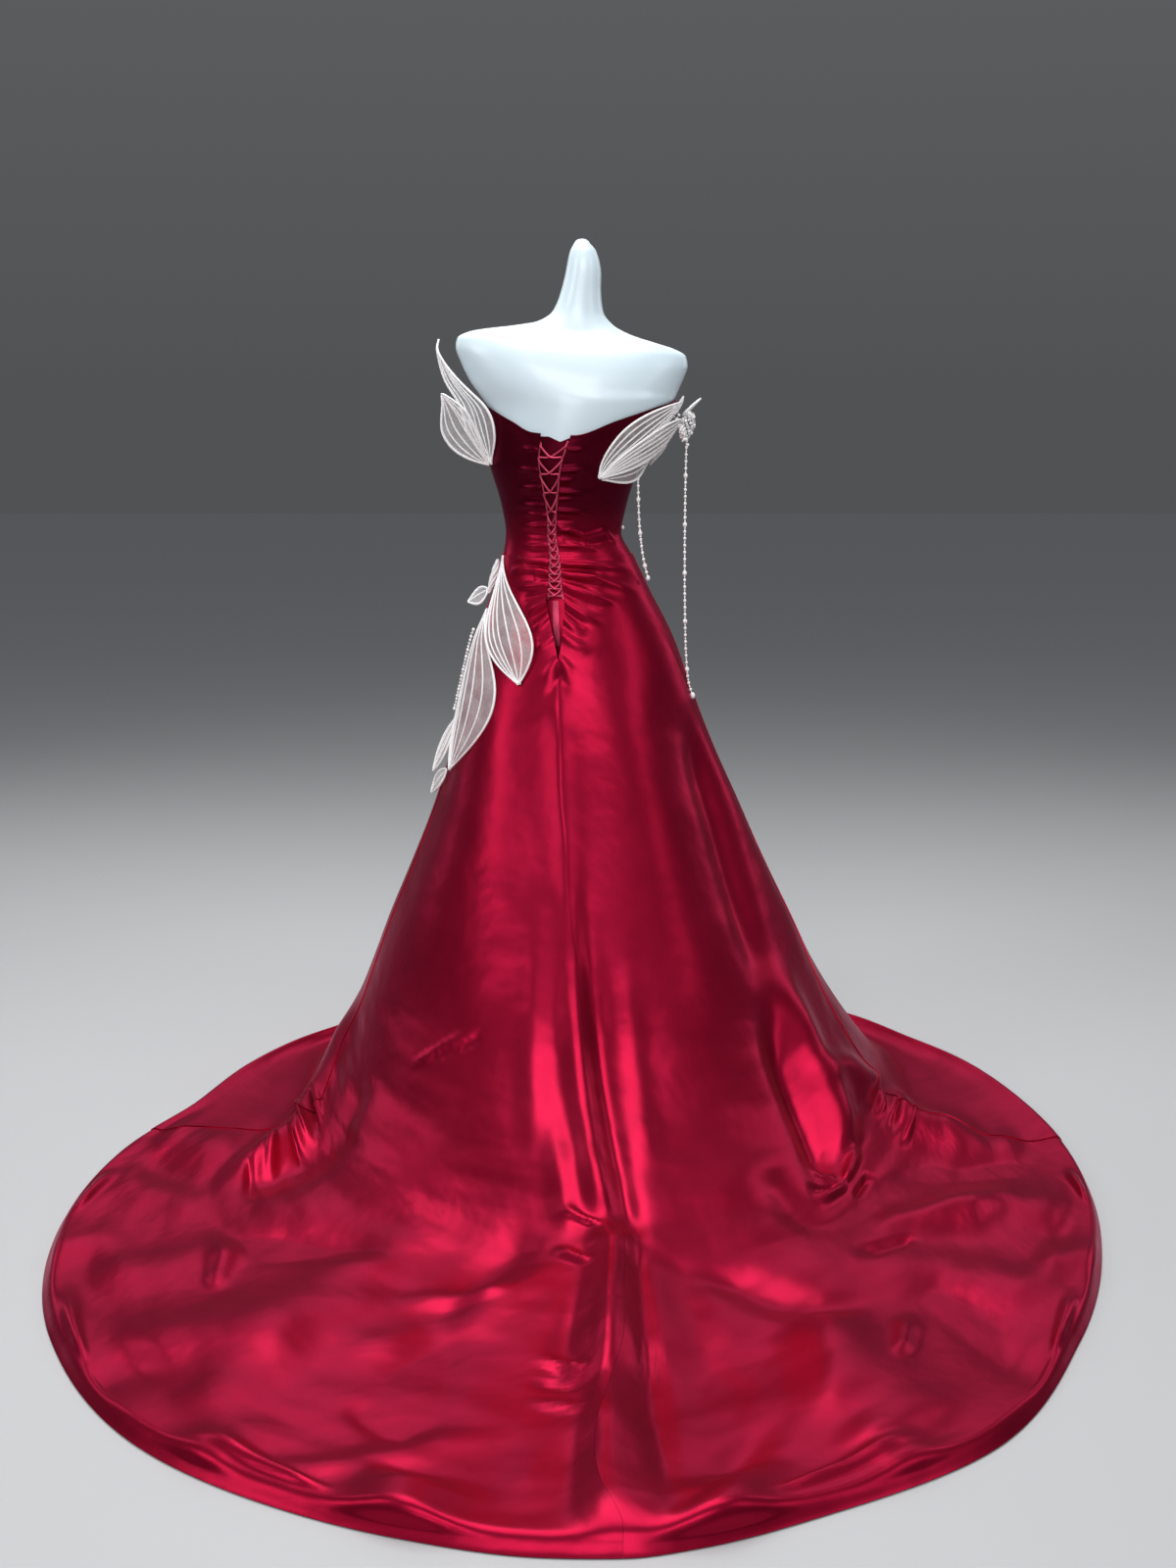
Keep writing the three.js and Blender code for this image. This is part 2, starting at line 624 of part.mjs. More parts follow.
// A point over the outside of the gown: a height, an angle and how far it stands off the cloth.
function overGown([z, angle, lift]) {
  if (z >= WAIST_Z) return bodyPoint(angle, z, CLOTH_OFF_FORM + SATIN_WALL + lift);
  const row = rowAt(z);
  return skirtPoint(row, angle).addScaledVector(skirtOut(row, angle), SATIN_WALL + lift);
}

// Wired organza leaves. base, tip and the places where the two edges are widest are each a
// height, an angle and a distance off the cloth. widest is how far along that is. A small root
// or point makes that end rounder. ribs is the number of ribs between the bound edges and cup
// hollows the leaf.
const LEAVES = [
  {
    name: "shoulder_leaf_tall", base: [1189, 73, 0.6], tip: [1396, 99, 34],
    one: [1272, 88, 42], two: [1268, 62, 8], widest: 0.42, root: 1.0, point: 1.25, ribs: 4, cup: 3,
  },
  {
    name: "shoulder_leaf_round", base: [1188, 75, 4.9], tip: [1312, 76, 74],
    one: [1234, 78, 82], two: [1275, 70, 44], widest: 0.6, root: 0.9, point: 0.6, ribs: 5, cup: 6,
  },
  {
    name: "shoulder_leaf_broad", base: [1165.4, -29, 0.4], tip: [1300, -76, 12],
    one: [1262, -38, 6], two: [1220, -60, 12], widest: 0.55, root: 0.95, point: 0.8, ribs: 6, cup: 4,
  },
  {
    name: "shoulder_leaf_lower", base: [1166, -30, 6.2], tip: [1266, -86, 27.5],
    one: [1256, -63, 21], two: [1208, -74, 24], widest: 0.7, root: 1.0, point: 0.55, ribs: 4, cup: 4,
  },
  {
    name: "shoulder_leaf_under", base: [1164, -31, 2.4], tip: [1214, -84, 14],
    one: [1200, -58, 15], two: [1163, -70, 11], widest: 0.6, root: 1.0, point: 0.9, ribs: 3, cup: 3,
  },
  {
    name: "shoulder_leaf_behind", base: [1238, -98, 0.8], tip: [1188, -97, 22],
    one: [1224, -97, 30], two: [1206, -108, 8], widest: 0.5, root: 0.8, point: 0.8, ribs: 2, cup: 2,
  },
  {
    name: "shoulder_spike_inner", base: [1280, -86, -0.2], tip: [1319, -88, 8],
    one: [1284, -83, 4], two: [1284, -90, 8], widest: 0.2, root: 0.8, point: 1.2, ribs: 1, cup: 0,
  },
  {
    name: "shoulder_spike_outer", base: [1279, -90, 24], tip: [1313, -91, 42],
    one: [1286, -86, 26], two: [1286, -94, 30], widest: 0.3, root: 0.8, point: 1.2, ribs: 1, cup: 0,
  },
  {
    name: "hip_leaf_large", base: [1020, 77, 0.7], tip: [793, 30, 4],
    one: [892, 27, 7], two: [876, 60, 8], widest: 0.56, root: 1.15, point: 1.0, ribs: 5, cup: 5,
  },
  {
    name: "hip_leaf_small", base: [952, 90, 10.9], tip: [916, 93, 38],
    one: [948, 96, 29], two: [924, 86, 16], widest: 0.5, root: 0.8, point: 1.15, ribs: 1, cup: 2,
  },
  {
    name: "hip_leaf_long", base: [920, 80, 1.3], tip: [622, 72, 3],
    one: [770, 44, 5], two: [745, 87, 5], widest: 0.5, root: 0.95, point: 0.9, ribs: 6, cup: 5,
  },
  {
    name: "hip_leaf_low", base: [716, 96, 0.1], tip: [596, 95, 22],
    one: [655, 99, 24], two: [640, 86, 8], widest: 0.55, root: 0.9, point: 0.8, ribs: 3, cup: 4,
  },
  {
    name: "hip_leaf_end", base: [618, 78, 1.4], tip: [562, 88, 12],
    one: [586, 80, 4], two: [595, 89, 12], widest: 0.6, root: 0.8, point: 0.8, ribs: 1, cup: 2,
  },
];

function leafOutline(share, { widest, root, point }) {
  const rising = Math.sin((Math.PI / 2) * Math.min(share / widest, 1)) ** root;
  const falling = Math.sin((Math.PI / 2) * Math.min((1 - share) / (1 - widest), 1)) ** point;
  return Math.max(rising * falling, 0.04);
}

// A point of a leaf: share runs from base to tip, across from -1 at one edge to 1 at the other.
function leafPoint(leaf, share, across) {
  const mix = (a, b, t) => a.map((value, k) => value + (b[k] - value) * t);
  const middle = mix(leaf.base, leaf.tip, share);
  const widestMiddle = mix(leaf.base, leaf.tip, leaf.widest);
  const edge = across < 0 ? leaf.one : leaf.two;
  const width = Math.abs(across) * leafOutline(share, leaf);
  const place = middle.map((value, k) => value + width * (edge[k] - widestMiddle[k]));
  place[2] += leaf.cup * leafOutline(share, leaf) * (1 - across * across);
  return overGown(place);
}

function makeLeaf(leaf) {
  const columns = 2 * (leaf.ribs + 1);
  const shares = range(7, 0, 1);
  const sides = range(columns, -1, 1);
  const inside = shares.map((u) => sides.map((v) => leafPoint(leaf, u, v)));
  const centre = leafPoint(leaf, 0.5, 0);
  const out = leafNormal(leaf, 0.5, 0);
  const away = Math.sign(out.dot(new THREE.Vector3(centre.x, centre.y, 0))) || 1;
  const outside = shares.map((u, i) =>
    sides.map((v, j) => {
      const rib = j % 2 === 0 ? RIB_RISE : 0;
      const normal = leafNormal(leaf, u, v).multiplyScalar(away);
      return inside[i][j].clone().addScaledVector(normal, ORGANZA_WALL + rib);
    }),
  );
  return wallMesh(leaf.name, organza, inside, outside, false);
}

function leafNormal(leaf, share, across) {
  const u = Math.min(Math.max(share, 0.06), 0.94);
  const v = Math.min(Math.max(across, -0.95), 0.95);
  const along = leafPoint(leaf, u + 0.04, v).sub(leafPoint(leaf, u - 0.04, v));
  const over = leafPoint(leaf, u, v + 0.05).sub(leafPoint(leaf, u, v - 0.05));
  return along.cross(over).normalize();
}

// The bunch of stones at the end of the right shoulder leaves
function makeJewel() {
  const stones = new THREE.IcosahedronGeometry(1, 3);
  const place = stones.getAttribute("position");
  const at = new THREE.Vector3();
  for (let i = 0; i < place.count; i += 1) {
    at.fromBufferAttribute(place, i).normalize();
    const bump = Math.sin(6 * at.x + 1) * Math.sin(6 * at.y + 2) * Math.sin(5 * at.z);
    at.multiplyScalar(1 + 0.13 * bump);
    place.setXYZ(i, at.x, at.y, at.z);
  }
  stones.scale(13, 11, 27).rotateY(radians(-14)).translate(-202, 8, 1258);
  addGeometry("shoulder_jewel", pearl, stones);
}

// The routes of the two bead strands that hang free, from where each leaves the ornament
const OUTER_STRAND = [
  [-201, 9, 1231.8], [-200.2, 10, 1205], [-199.6, 11, 1175], [-199.3, 12, 1144],
  [-199.1, 13, 1112], [-199, 14, 1080], [-199, 15, 1045], [-199.1, 17, 1010],
  [-199.3, 18, 975], [-199.8, 20, 940], [-200.4, 22, 905], [-201.2, 24, 870],
  [-202.4, 27, 838], [-204.6, 30, 808], [-208, 33, 782], [-215.4, 36, 757],
];
const INNER_STRAND = [
  [-110.4, 39, 1161.9], [-110.6, 39.2, 1150], [-110.8, 39.4, 1138], [-111.1, 39.4, 1126],
  [-111.5, 39.3, 1114], [-112, 39.2, 1102], [-112.7, 39, 1090], [-113.5, 38.8, 1077],
  [-114.6, 38.5, 1064], [-116, 38.2, 1051], [-117.6, 37.6, 1038], [-119.3, 36.9, 1026],
  [-121.2, 36.2, 1015], [-123.8, 35.2, 1003], [-126.8, 34.1, 991], [-130, 33, 978],
];

function makeStrands() {
  const route = (places) => places.map((place) => new THREE.Vector3(...place));
  cord("strand_outer", pearl, route(OUTER_STRAND), STRAND_RADIUS, 8, 40);
  cord("strand_inner", pearl, route(INNER_STRAND), STRAND_RADIUS, 8, 16);
}

// The gathered organza at the top of the hip ornament, and the beads sewn along its edge
function makeHipTrim() {
  const twist = range(9, 0, 1).map((share) => {
    const middle = overGown([1012 - 66 * share, 88 - share, 7.4]);
    const radius = 6.2 - 3 * (2 * share - 1) ** 2;
    return range(11, 0, 11 / 12).map((turn) => {
      const angle = 2 * Math.PI * turn;
      const ridge = 1 + 0.14 * Math.cos(3 * angle + 7 * share);
      const side = new THREE.Vector3(Math.cos(angle), Math.sin(angle), 0);
      return middle.clone().addScaledVector(side, radius * ridge);
    });
  });
  ringSolid("hip_twist", organza, twist);
  const garland = range(30, 0, 1).map((share) => {
    const middle = overGown([876 - 150 * share, 86 + 1.5 * share, 10.1 + 1.2 * share]);
    const radius = 2.1 + 1.1 * Math.abs(Math.cos(15 * Math.PI * share));
    return range(5, 0, 5 / 6).map((turn) => {
      const angle = 2 * Math.PI * turn;
      const side = new THREE.Vector3(Math.cos(angle), Math.sin(angle), 0);
      return middle.clone().addScaledVector(side, radius);
    });
  });
  ringSolid("hip_garland", pearl, garland);
}

makeForm();
makeBodice();
makeSkirt();
makeLacing();
LEAVES.forEach(makeLeaf);
makeJewel();
makeStrands();
makeHipTrim();

export default dress;
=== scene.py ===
# %% [markdown]
# # A laced satin gown with a train, on a dress form
#
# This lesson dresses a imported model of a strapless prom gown. The model is a frame of plain
# solids in metres, with +Z up and the back of the gown towards +Y. Each step makes one piece of
# the real gown as its maker would cut it, lays it on its solid and gives it a finish.

# %% The frame
import math
import bmesh
import bpy
import numpy as np
from mathutils import Matrix, Vector


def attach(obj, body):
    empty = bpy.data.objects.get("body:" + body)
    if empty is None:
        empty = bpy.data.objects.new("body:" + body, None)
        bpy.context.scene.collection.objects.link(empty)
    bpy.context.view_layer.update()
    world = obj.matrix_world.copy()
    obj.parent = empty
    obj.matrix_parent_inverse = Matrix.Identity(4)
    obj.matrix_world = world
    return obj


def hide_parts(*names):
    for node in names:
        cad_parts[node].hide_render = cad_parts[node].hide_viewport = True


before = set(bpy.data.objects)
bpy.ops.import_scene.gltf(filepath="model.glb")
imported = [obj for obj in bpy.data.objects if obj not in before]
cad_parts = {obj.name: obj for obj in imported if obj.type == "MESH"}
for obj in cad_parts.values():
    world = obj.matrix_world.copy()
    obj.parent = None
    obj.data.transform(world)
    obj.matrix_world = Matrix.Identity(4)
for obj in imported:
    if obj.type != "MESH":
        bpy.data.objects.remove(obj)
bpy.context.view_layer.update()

# %% [markdown]
# ## Camera
#
# The picture is taken from behind the gown, at 1.3 m up and 3.7 m away, looking 11 degrees down.
# Those numbers follow from the floor line, the hem and the height of the form. A 45 mm lens on
# a 36 mm high frame gives the same perspective.

# %% Camera
camera_data = bpy.data.cameras.new("photo_camera")
camera_data.sensor_fit = "VERTICAL"
camera_data.sensor_height = 36
camera_data.lens = 45
camera = bpy.data.objects.new("photo_camera", camera_data)
camera.location = (-0.018, 3.700, 1.300)
camera.rotation_euler = (math.radians(90 - 11), 0, math.radians(180))
bpy.context.scene.collection.objects.link(camera)
bpy.context.scene.camera = camera
print("camera at", tuple(camera.location))

# %% [markdown]
# ## Light and floor
#
# Satin shows its shape by what it reflects, so the light matters as much as the cloth. Each of
# these soft lights is there for one slope: the overhead ones show in the cloth at the foot of the
# skirt, the ones behind the camera in the standing cloth, and the weak one far in front in the
# cloth that lies flat. Two at each side draw the edges, and a grey sky fills in the rest.

# %% Light and floor
def soft_light(name, place, target, size, watts, spread=180):
    data = bpy.data.lights.new(name, "AREA")
    data.shape = "RECTANGLE"
    data.size, data.size_y = size
    data.energy = watts
    data.spread = math.radians(spread)
    light = bpy.data.objects.new(name, data)
    light.location = place
    aim = Vector(target) - Vector(place)
    light.rotation_euler = aim.to_track_quat("-Z", "Y").to_euler()
    bpy.context.scene.collection.objects.link(light)


soft_light("overhead", (0.0, 0.6, 3.6), (0.0, 0.6, 0.0), (2.6, 1.8), 60)
soft_light("high_back", (0.2, 4.3, 3.5), (0.0, 0.1, 0.8), (3.0, 1.0), 66)
soft_light("behind_camera", (0.6, 5.4, 1.9), (0.0, 0.3, 1.0), (1.6, 1.4), 42)
soft_light("overhead_front", (0.4, -0.9, 3.2), (0.1, 0.9, 0.0), (1.8, 1.6), 42)
soft_light("high_front", (-0.2, -4.6, 3.4), (0.0, 1.2, 0.0), (5.0, 1.8), 6, spread=70)
soft_light("back_left", (3.2, 2.0, 2.7), (0.0, 0.2, 0.8), (1.0, 1.6), 26)
soft_light("back_right", (-3.2, 2.0, 2.7), (0.0, 0.2, 0.8), (1.0, 1.6), 14)
soft_light("side_left", (2.8, -1.8, 2.2), (0.0, 0.2, 0.9), (0.8, 2.2), 12)
soft_light("side_right", (-2.8, -1.8, 2.2), (0.0, 0.2, 0.9), (0.8, 2.2), 12)

world = bpy.data.worlds.new("studio")
world.use_nodes = True
sky = world.node_tree
direction = sky.nodes.new("ShaderNodeTexCoord")
height = sky.nodes.new("ShaderNodeSeparateXYZ")
shade = sky.nodes.new("ShaderNodeValToRGB")
shade.color_ramp.elements[0].color = (0.082, 0.084, 0.088, 1)
shade.color_ramp.elements[1].color = (0.20, 0.205, 0.215, 1)
sky.links.new(direction.outputs["Generated"], height.inputs["Vector"])
sky.links.new(height.outputs["Z"], shade.inputs["Fac"])
sky.links.new(shade.outputs["Color"], sky.nodes["Background"].inputs["Color"])
bpy.context.scene.world = world
bpy.context.scene.view_settings.view_transform = "Standard"

bm = bmesh.new()
bmesh.ops.create_grid(bm, x_segments=1, y_segments=1, size=20)
bmesh.ops.translate(bm, verts=bm.verts, vec=(0, 0, -0.0006))
floor_mesh = bpy.data.meshes.new("floor")
bm.to_mesh(floor_mesh)
bm.free()
floor = bpy.data.objects.new("floor", floor_mesh)
bpy.context.scene.collection.objects.link(floor)
floor_paint = bpy.data.materials.new("pale_floor")
floor_paint.use_nodes = True
floor_shader = floor_paint.node_tree.nodes["Principled BSDF"]
floor_shader.inputs["Base Color"].default_value = (0.50, 0.51, 0.52, 1)
floor_shader.inputs["Roughness"].default_value = 0.55
floor_mesh.materials.append(floor_paint)
print(len(bpy.data.lights), "lights and a floor")

# %% [markdown]
# ## Tables and smooth curves
#
# The gown is described by short tables, in millimetres and degrees: how wide it is at each
# height, where its edges run, how far its hem reaches. A curve through the rows of a table that
# never overshoots gives every size in between, so no bulge appears that nobody wrote down.

# %% Tables and smooth curves
MM = 0.001


def table(names, rows):
    return dict(zip(names.split(), np.array(rows, float).T))


def smooth(rows, along, key, at):
    x, y = rows[along], rows[key]
    steps = np.diff(y) / np.diff(x)
    a, b = steps[:-1], steps[1:]
    both = a * b > 0
    inner = np.where(both, 2 * a * b / np.where(both, a + b, 1), 0)
    slopes = np.concatenate([steps[:1], inner, steps[-1:]])
    here = np.clip(at, x[0], x[-1])
    i = np.clip(np.searchsorted(x, here) - 1, 0, len(x) - 2)
    span = x[i + 1] - x[i]
    u = (here - x[i]) / span
    ends = y[i] * (2 * u**3 - 3 * u**2 + 1) + y[i + 1] * (3 * u**2 - 2 * u**3)
    return ends + span * (slopes[i] * (u**3 - 2 * u**2 + u) + slopes[i + 1] * (u**3 - u**2))


def wrapped(angle):
    return (np.asarray(angle, float) + 180) % 360 - 180


def unit(v):
    return v / np.maximum(np.linalg.norm(v, axis=-1, keepdims=True), 1e-9)


def smoothstep(x):
    x = np.clip(x, 0, 1)
    return x * x * (3 - 2 * x)


FORM = table("z half back front middle lean", [
    (830, 150, 118, 104, 8, 0), (880, 152, 120, 106, 10, 0), (940, 142, 112, 100, 14, 0),
    (985, 127, 99, 92, 18, 0), (1022, 115, 90, 84, 21, 0), (1061, 103, 84, 78, 28, 0),
    (1104, 110, 88, 84, 27, 0), (1180, 132, 98, 102, 26, 0), (1240, 152, 102, 118, 12, 0),
    (1300, 174, 103, 116, -2, 0), (1330, 192, 98, 102, 8, 0.05), (1360, 206, 90, 90, 11, 0.07),
    (1384, 214, 80, 78, 12, 0.08), (1401, 211, 70, 68, 12, 0.08), (1413, 190, 61, 58, 11, 0.085),
    (1422, 152, 55, 52, 9, 0.09), (1431, 108, 50, 47, 7, 0.09), (1444, 69, 46, 43, 4, 0.06),
    (1464, 47, 41, 39, 0, 0.03), (1500, 37, 36, 35, -5, 0), (1545, 31, 31, 30, -10, 0),
    (1572, 24, 24, 24, -9, 0), (1587, 14, 14, 14, -7, 0),
])
NECKLINE = table("angle z", [
    (-180, 1262), (-165, 1278), (-140, 1304), (-112, 1306), (-90, 1306), (-62, 1297),
    (-40, 1281), (-27, 1269), (-2, 1243), (27, 1248), (46, 1269), (75, 1294), (90, 1300),
    (112, 1304), (140, 1304), (165, 1278), (180, 1262),
])
OPENING = table("z half", [
    (838, 0), (868, 6), (905, 12), (946, 17), (960, 14), (1000, 12), (1050, 9.5),
    (1090, 10), (1141, 15.5), (1225, 27), (1250, 28),
])
SKIRT = table("row z half back front middle seam side", [
    (0, 1022, 119, 94, 88, 21, 11, 90), (1, 990, 130, 104, 97, 17, 11, 90),
    (2, 946, 147, 118, 107, 13, 11, 90), (3, 905, 166, 131, 116, 10, 10, 90),
    (4, 868, 182, 143, 124, 8, 9, 90), (5, 838, 192, 152, 130, 6, 9, 90),
    (6, 790, 206, 168, 140, 3, 9, 89), (7, 720, 227, 197, 156, -2, 9, 88),
    (8, 630, 256, 245, 182, -8, 9, 87), (9, 530, 294, 306, 214, -14, 7, 86),
    (10, 430, 337, 374, 250, -17, 5, 84), (11, 330, 383, 450, 286, -21, 3, 82),
    (12, 240, 422, 534, 318, -26, 2, 80), (13, 160, 462, 634, 348, -34, 1, 78),
    (14, 100, 496, 728, 374, -42, 0.5, 76), (15, 63, 520, 806, 392, -47, 0, 74),
    (16, 36, 542, 872, 408, -50, -1, 72), (17, 22, 566, 928, 428, -52, -2, 70),
])
TRAIN = table("row share lift seam side", [
    (17, 0, 22, -2, 70), (17.5, 0.06, 13, -2, 69.5), (18, 0.14, 7.5, -2, 69), (19, 0.32, 4, -2, 68),
    (20, 0.51, 3, -1, 67), (21, 0.7, 5, -0.5, 66), (22, 0.86, 11, -1, 65), (23, 0.965, 18, -2, 65),
    (24, 1, 0, -2, 65),
])
HEM = table("angle reach", [
    (-180, 520), (-150, 560), (-118, 657), (-105, 690), (-92, 760), (-77, 852), (-63, 969),
    (-47, 1138), (-32, 1341), (-20, 1528), (-11, 1603), (-5, 1652), (-2, 1666), (1, 1664),
    (7, 1638), (14, 1591), (21, 1527), (33, 1355), (47, 1131), (60, 930), (73, 748),
    (88, 660), (103, 598), (118, 552), (150, 528), (180, 520),
])
WAIST_Z, SLIT_END_Z, CENTRE_BACK, FLOOR_ROW, HEM_ROW = 1022, 838, 11, 17, 24
OFF_FORM, WALL = 3, 2
print("tables for the form, neckline, opening, skirt, train and hem")

# %% [markdown]
# ## Large folds
#
# A fold of hanging cloth is a soft ridge or trough that runs down the skirt. Each row of this
# table is one fold: where it starts and ends (a row down the skirt and an angle round it), how
# wide it is to each side and how far it rises. These are the folds that the solids have too.

# %% Large folds
FOLDS = table("start at stop end width rise", [
    (5.5, 9, 12, 2.5, 26, 6), (10, 4.5, 16.5, 0, 36, 16), (15.5, 0, 20.5, -1.5, 44, 26),
    (19.5, -1.2, 23.4, -2, 44, 24), (12, 1, 20.5, -1.5, 250, 26), (9, 1, 17.5, -4.5, 30, -14),
    (13.5, 45, 20, 42, 190, 16), (13.5, -27, 20, -25, 150, 14),
    (6.5, -66, 12, -48, 46, -22), (11.5, -49, 16.4, -43, 55, -38),
    (11, -57, 16, -52, 55, 26), (13, -60, 15.5, -73, 60, 26), (15.2, -73, 20.5, -65, 62, 34),
    (12.5, 84, 17.5, 76, 55, 20), (16.3, 77, 20, 52, 58, 34), (16, 62, 20, 50, 50, -14),
    (18.5, 22, 22.5, 30, 85, 20), (19, -20, 22.6, -17, 90, 18), (18.5, -45, 22.5, -50, 85, 18),
    (19, 60, 22.6, 66, 75, 16), (21.8, 8, 23.6, 7, 60, 22), (21.6, -7, 23.6, -6, 60, 24),
    (8, 150, 17, 146, 60, 22), (8, -150, 17, -146, 60, 22),
])


def fold_rise(folds, row, angle, degree):
    rise = np.zeros(np.broadcast(row, angle).shape)
    for start, at, stop, end, width, height in zip(*folds.values()):
        share = (row - start) / (stop - start)
        away = wrapped(angle - at - (end - at) * share) * degree / width
        fade = smoothstep(np.minimum(1, 3.2 * np.minimum(share, 1 - share)))
        rise += height * np.exp(-away * away) * fade
    return rise


def plain_skirt(row, angle):
    s, c = np.sin(np.radians(angle)), np.cos(np.radians(angle))
    level = np.minimum(row, FLOOR_ROW)
    depth = np.where(c > 0, smooth(SKIRT, "row", "back", level), smooth(SKIRT, "row", "front", level))
    x = smooth(SKIRT, "row", "middle", level) + smooth(SKIRT, "row", "half", level) * s
    y = depth * c
    z = smooth(SKIRT, "row", "z", level)
    share = np.where(row > FLOOR_ROW, smooth(TRAIN, "row", "share", row), 0)
    reach = smooth(HEM, "angle", "reach", wrapped(angle))
    x = x + (reach * s - x) * share
    y = y + (reach * c - y) * share
    z = np.where(row > FLOOR_ROW, smooth(TRAIN, "row", "lift", row), z)
    return np.stack(np.broadcast_arrays(x, y, z), axis=-1).astype(float)


def outward(surface, row, angle):
    along = surface(row + 0.05, angle) - surface(row - 0.05, angle)
    around = surface(row, angle + 0.4) - surface(row, angle - 0.4)
    return unit(np.cross(around, along))


def skirt_point(row, angle, finer=None):
    row, angle = np.broadcast_arrays(np.asarray(row, float), np.asarray(angle, float))
    point = plain_skirt(row, angle)
    degree = np.hypot(point[..., 0], point[..., 1]) * math.radians(1)
    rise = fold_rise(FOLDS, row, angle, degree)
    if finer is not None:
        rise = rise + finer(row, angle, degree)
    point = point + outward(plain_skirt, row, angle) * rise[..., None]
    point[..., 2] = np.maximum(point[..., 2], 0)
    return point


def skirt_out(row, angle, finer=None):
    row = np.asarray(row, float)
    out = outward(lambda r, a: skirt_point(r, a, finer), np.maximum(row, 0.06), angle)
    out[..., 2] *= np.minimum(1, row / 3)
    return unit(out)


print(len(FOLDS["start"]), "large folds, centre back at the floor", skirt_point(17, 0).round(0))

# %% [markdown]
# ## Body surface
#
# The bodice is cut to the body, so its cloth is the form's own surface moved out by the air
# under it. A point of it is an angle, a height and how far it stands off.

# %% Body surface
def body_point(angle, z, off):
    angle, z, off = np.broadcast_arrays(*(np.asarray(v, float) for v in (angle, z, off)))
    s, c = np.sin(np.radians(angle)), np.cos(np.radians(angle))
    half = smooth(FORM, "z", "half", z)
    depth = np.where(c > 0, smooth(FORM, "z", "back", z), smooth(FORM, "z", "front", z))
    out = unit(np.stack([s / half, c / depth], axis=-1))
    x = half * s + off * out[..., 0]
    y = depth * c + off * out[..., 1]
    return np.stack([
        smooth(FORM, "z", "middle", z) + x, y, z + smooth(FORM, "z", "lean", z) * x,
    ], axis=-1)


def neckline(angle):
    return smooth(NECKLINE, "angle", "z", wrapped(angle))


def opening_half(z):
    return np.maximum(smooth(OPENING, "z", "half", z), 0.15)


def opening_angle(z, side, inset=0):
    half = smooth(FORM, "z", "half", z) + OFF_FORM
    return CENTRE_BACK + np.degrees(side * (opening_half(z) - inset) / half)


print("waist, centre back", body_point(11, WAIST_Z, OFF_FORM).round(1))

# %% [markdown]
# ## From a grid to a piece of cloth
#
# Every panel starts as one of Blender's grids. Its points are moved to where the cloth hangs,
# and its UV map is laid out in metres along the cloth, so a weave keeps its real size. The
# Solidify modifier then gives the sheet its thickness. A tube is the same grid, rolled up and
# merged along its edge.


def place_grid(bm, points):
    rows, columns = points.shape[:2]
    made = bmesh.ops.create_grid(bm, x_segments=columns - 1, y_segments=rows - 1, size=1)
    for vert, place in zip(made["verts"], (points * MM).reshape(-1, 3)):
        vert.co = place
    return made["verts"]


def metres_along(points):
    across = np.linalg.norm(np.diff(points, axis=1), axis=-1)
    down = np.linalg.norm(np.diff(points, axis=0), axis=-1).mean(axis=1)
    u = np.concatenate([np.zeros((len(points), 1)), across.cumsum(axis=1)], axis=1)
    u -= u[:, -1:] / 2
    v = np.concatenate([[0], down.cumsum()])
    return np.stack([u, np.broadcast_to(v[:, None], u.shape)], axis=-1).reshape(-1, 2) * MM


def area_of(points):
    a = points[1:, 1:] - points[:-1, :-1]
    b = points[1:, :-1] - points[:-1, 1:]
    return np.linalg.norm(np.cross(a, b), axis=-1).sum() / 2 * MM * MM


def add_piece(name, bm, material, replaces=(), recalculate=True):
    if recalculate:
        bmesh.ops.recalc_face_normals(bm, faces=bm.faces)
    for face in bm.faces:
        face.smooth = True
    mesh = bpy.data.meshes.new(name)
    bm.to_mesh(mesh)
    bm.free()
    mesh.materials.append(material)
    piece = bpy.data.objects.new(name, mesh)
    bpy.context.scene.collection.objects.link(piece)
    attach(piece, "root")
    if replaces:
        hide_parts(*replaces)
    return piece


def cloth(name, points, outward_at, thickness, material, replaces=()):
    bm = bmesh.new()
    verts = place_grid(bm, points)
    for edge in bm.edges:
        edge.smooth = not edge.is_boundary
    layer = bm.loops.layers.uv.new("cloth")
    flat = metres_along(points)
    order = {vert: i for i, vert in enumerate(verts)}
    for face in bm.faces:
        for loop in face.loops:
            loop[layer].uv = flat[order[loop.vert]]
    bm.faces.ensure_lookup_table()
    bm.normal_update()
    middle = bm.faces[len(bm.faces) // 2]
    if middle.normal.dot(Vector(outward_at)) < 0:
        bmesh.ops.reverse_faces(bm, faces=bm.faces)
    piece = add_piece(name, bm, material, replaces, recalculate=False)
    wall = piece.modifiers.new("thickness", "SOLIDIFY")
    wall.thickness = thickness * MM
    wall.offset = -1
    wall.use_even_offset = False
    return piece


def roll_up(bm, points):
    """A closed tube from rings of points (mm). The last point of a ring lies on its first one."""
    rows, columns = points.shape[:2]
    verts = place_grid(bm, points)
    seam = [verts[i * columns + k] for i in range(rows) for k in (0, columns - 1)]
    bmesh.ops.remove_doubles(bm, verts=seam, dist=1e-6)
    rims = {edge for vert in verts if vert.is_valid for edge in vert.link_edges if len(edge.link_faces) == 1}
    bmesh.ops.holes_fill(bm, edges=list(rims), sides=columns)


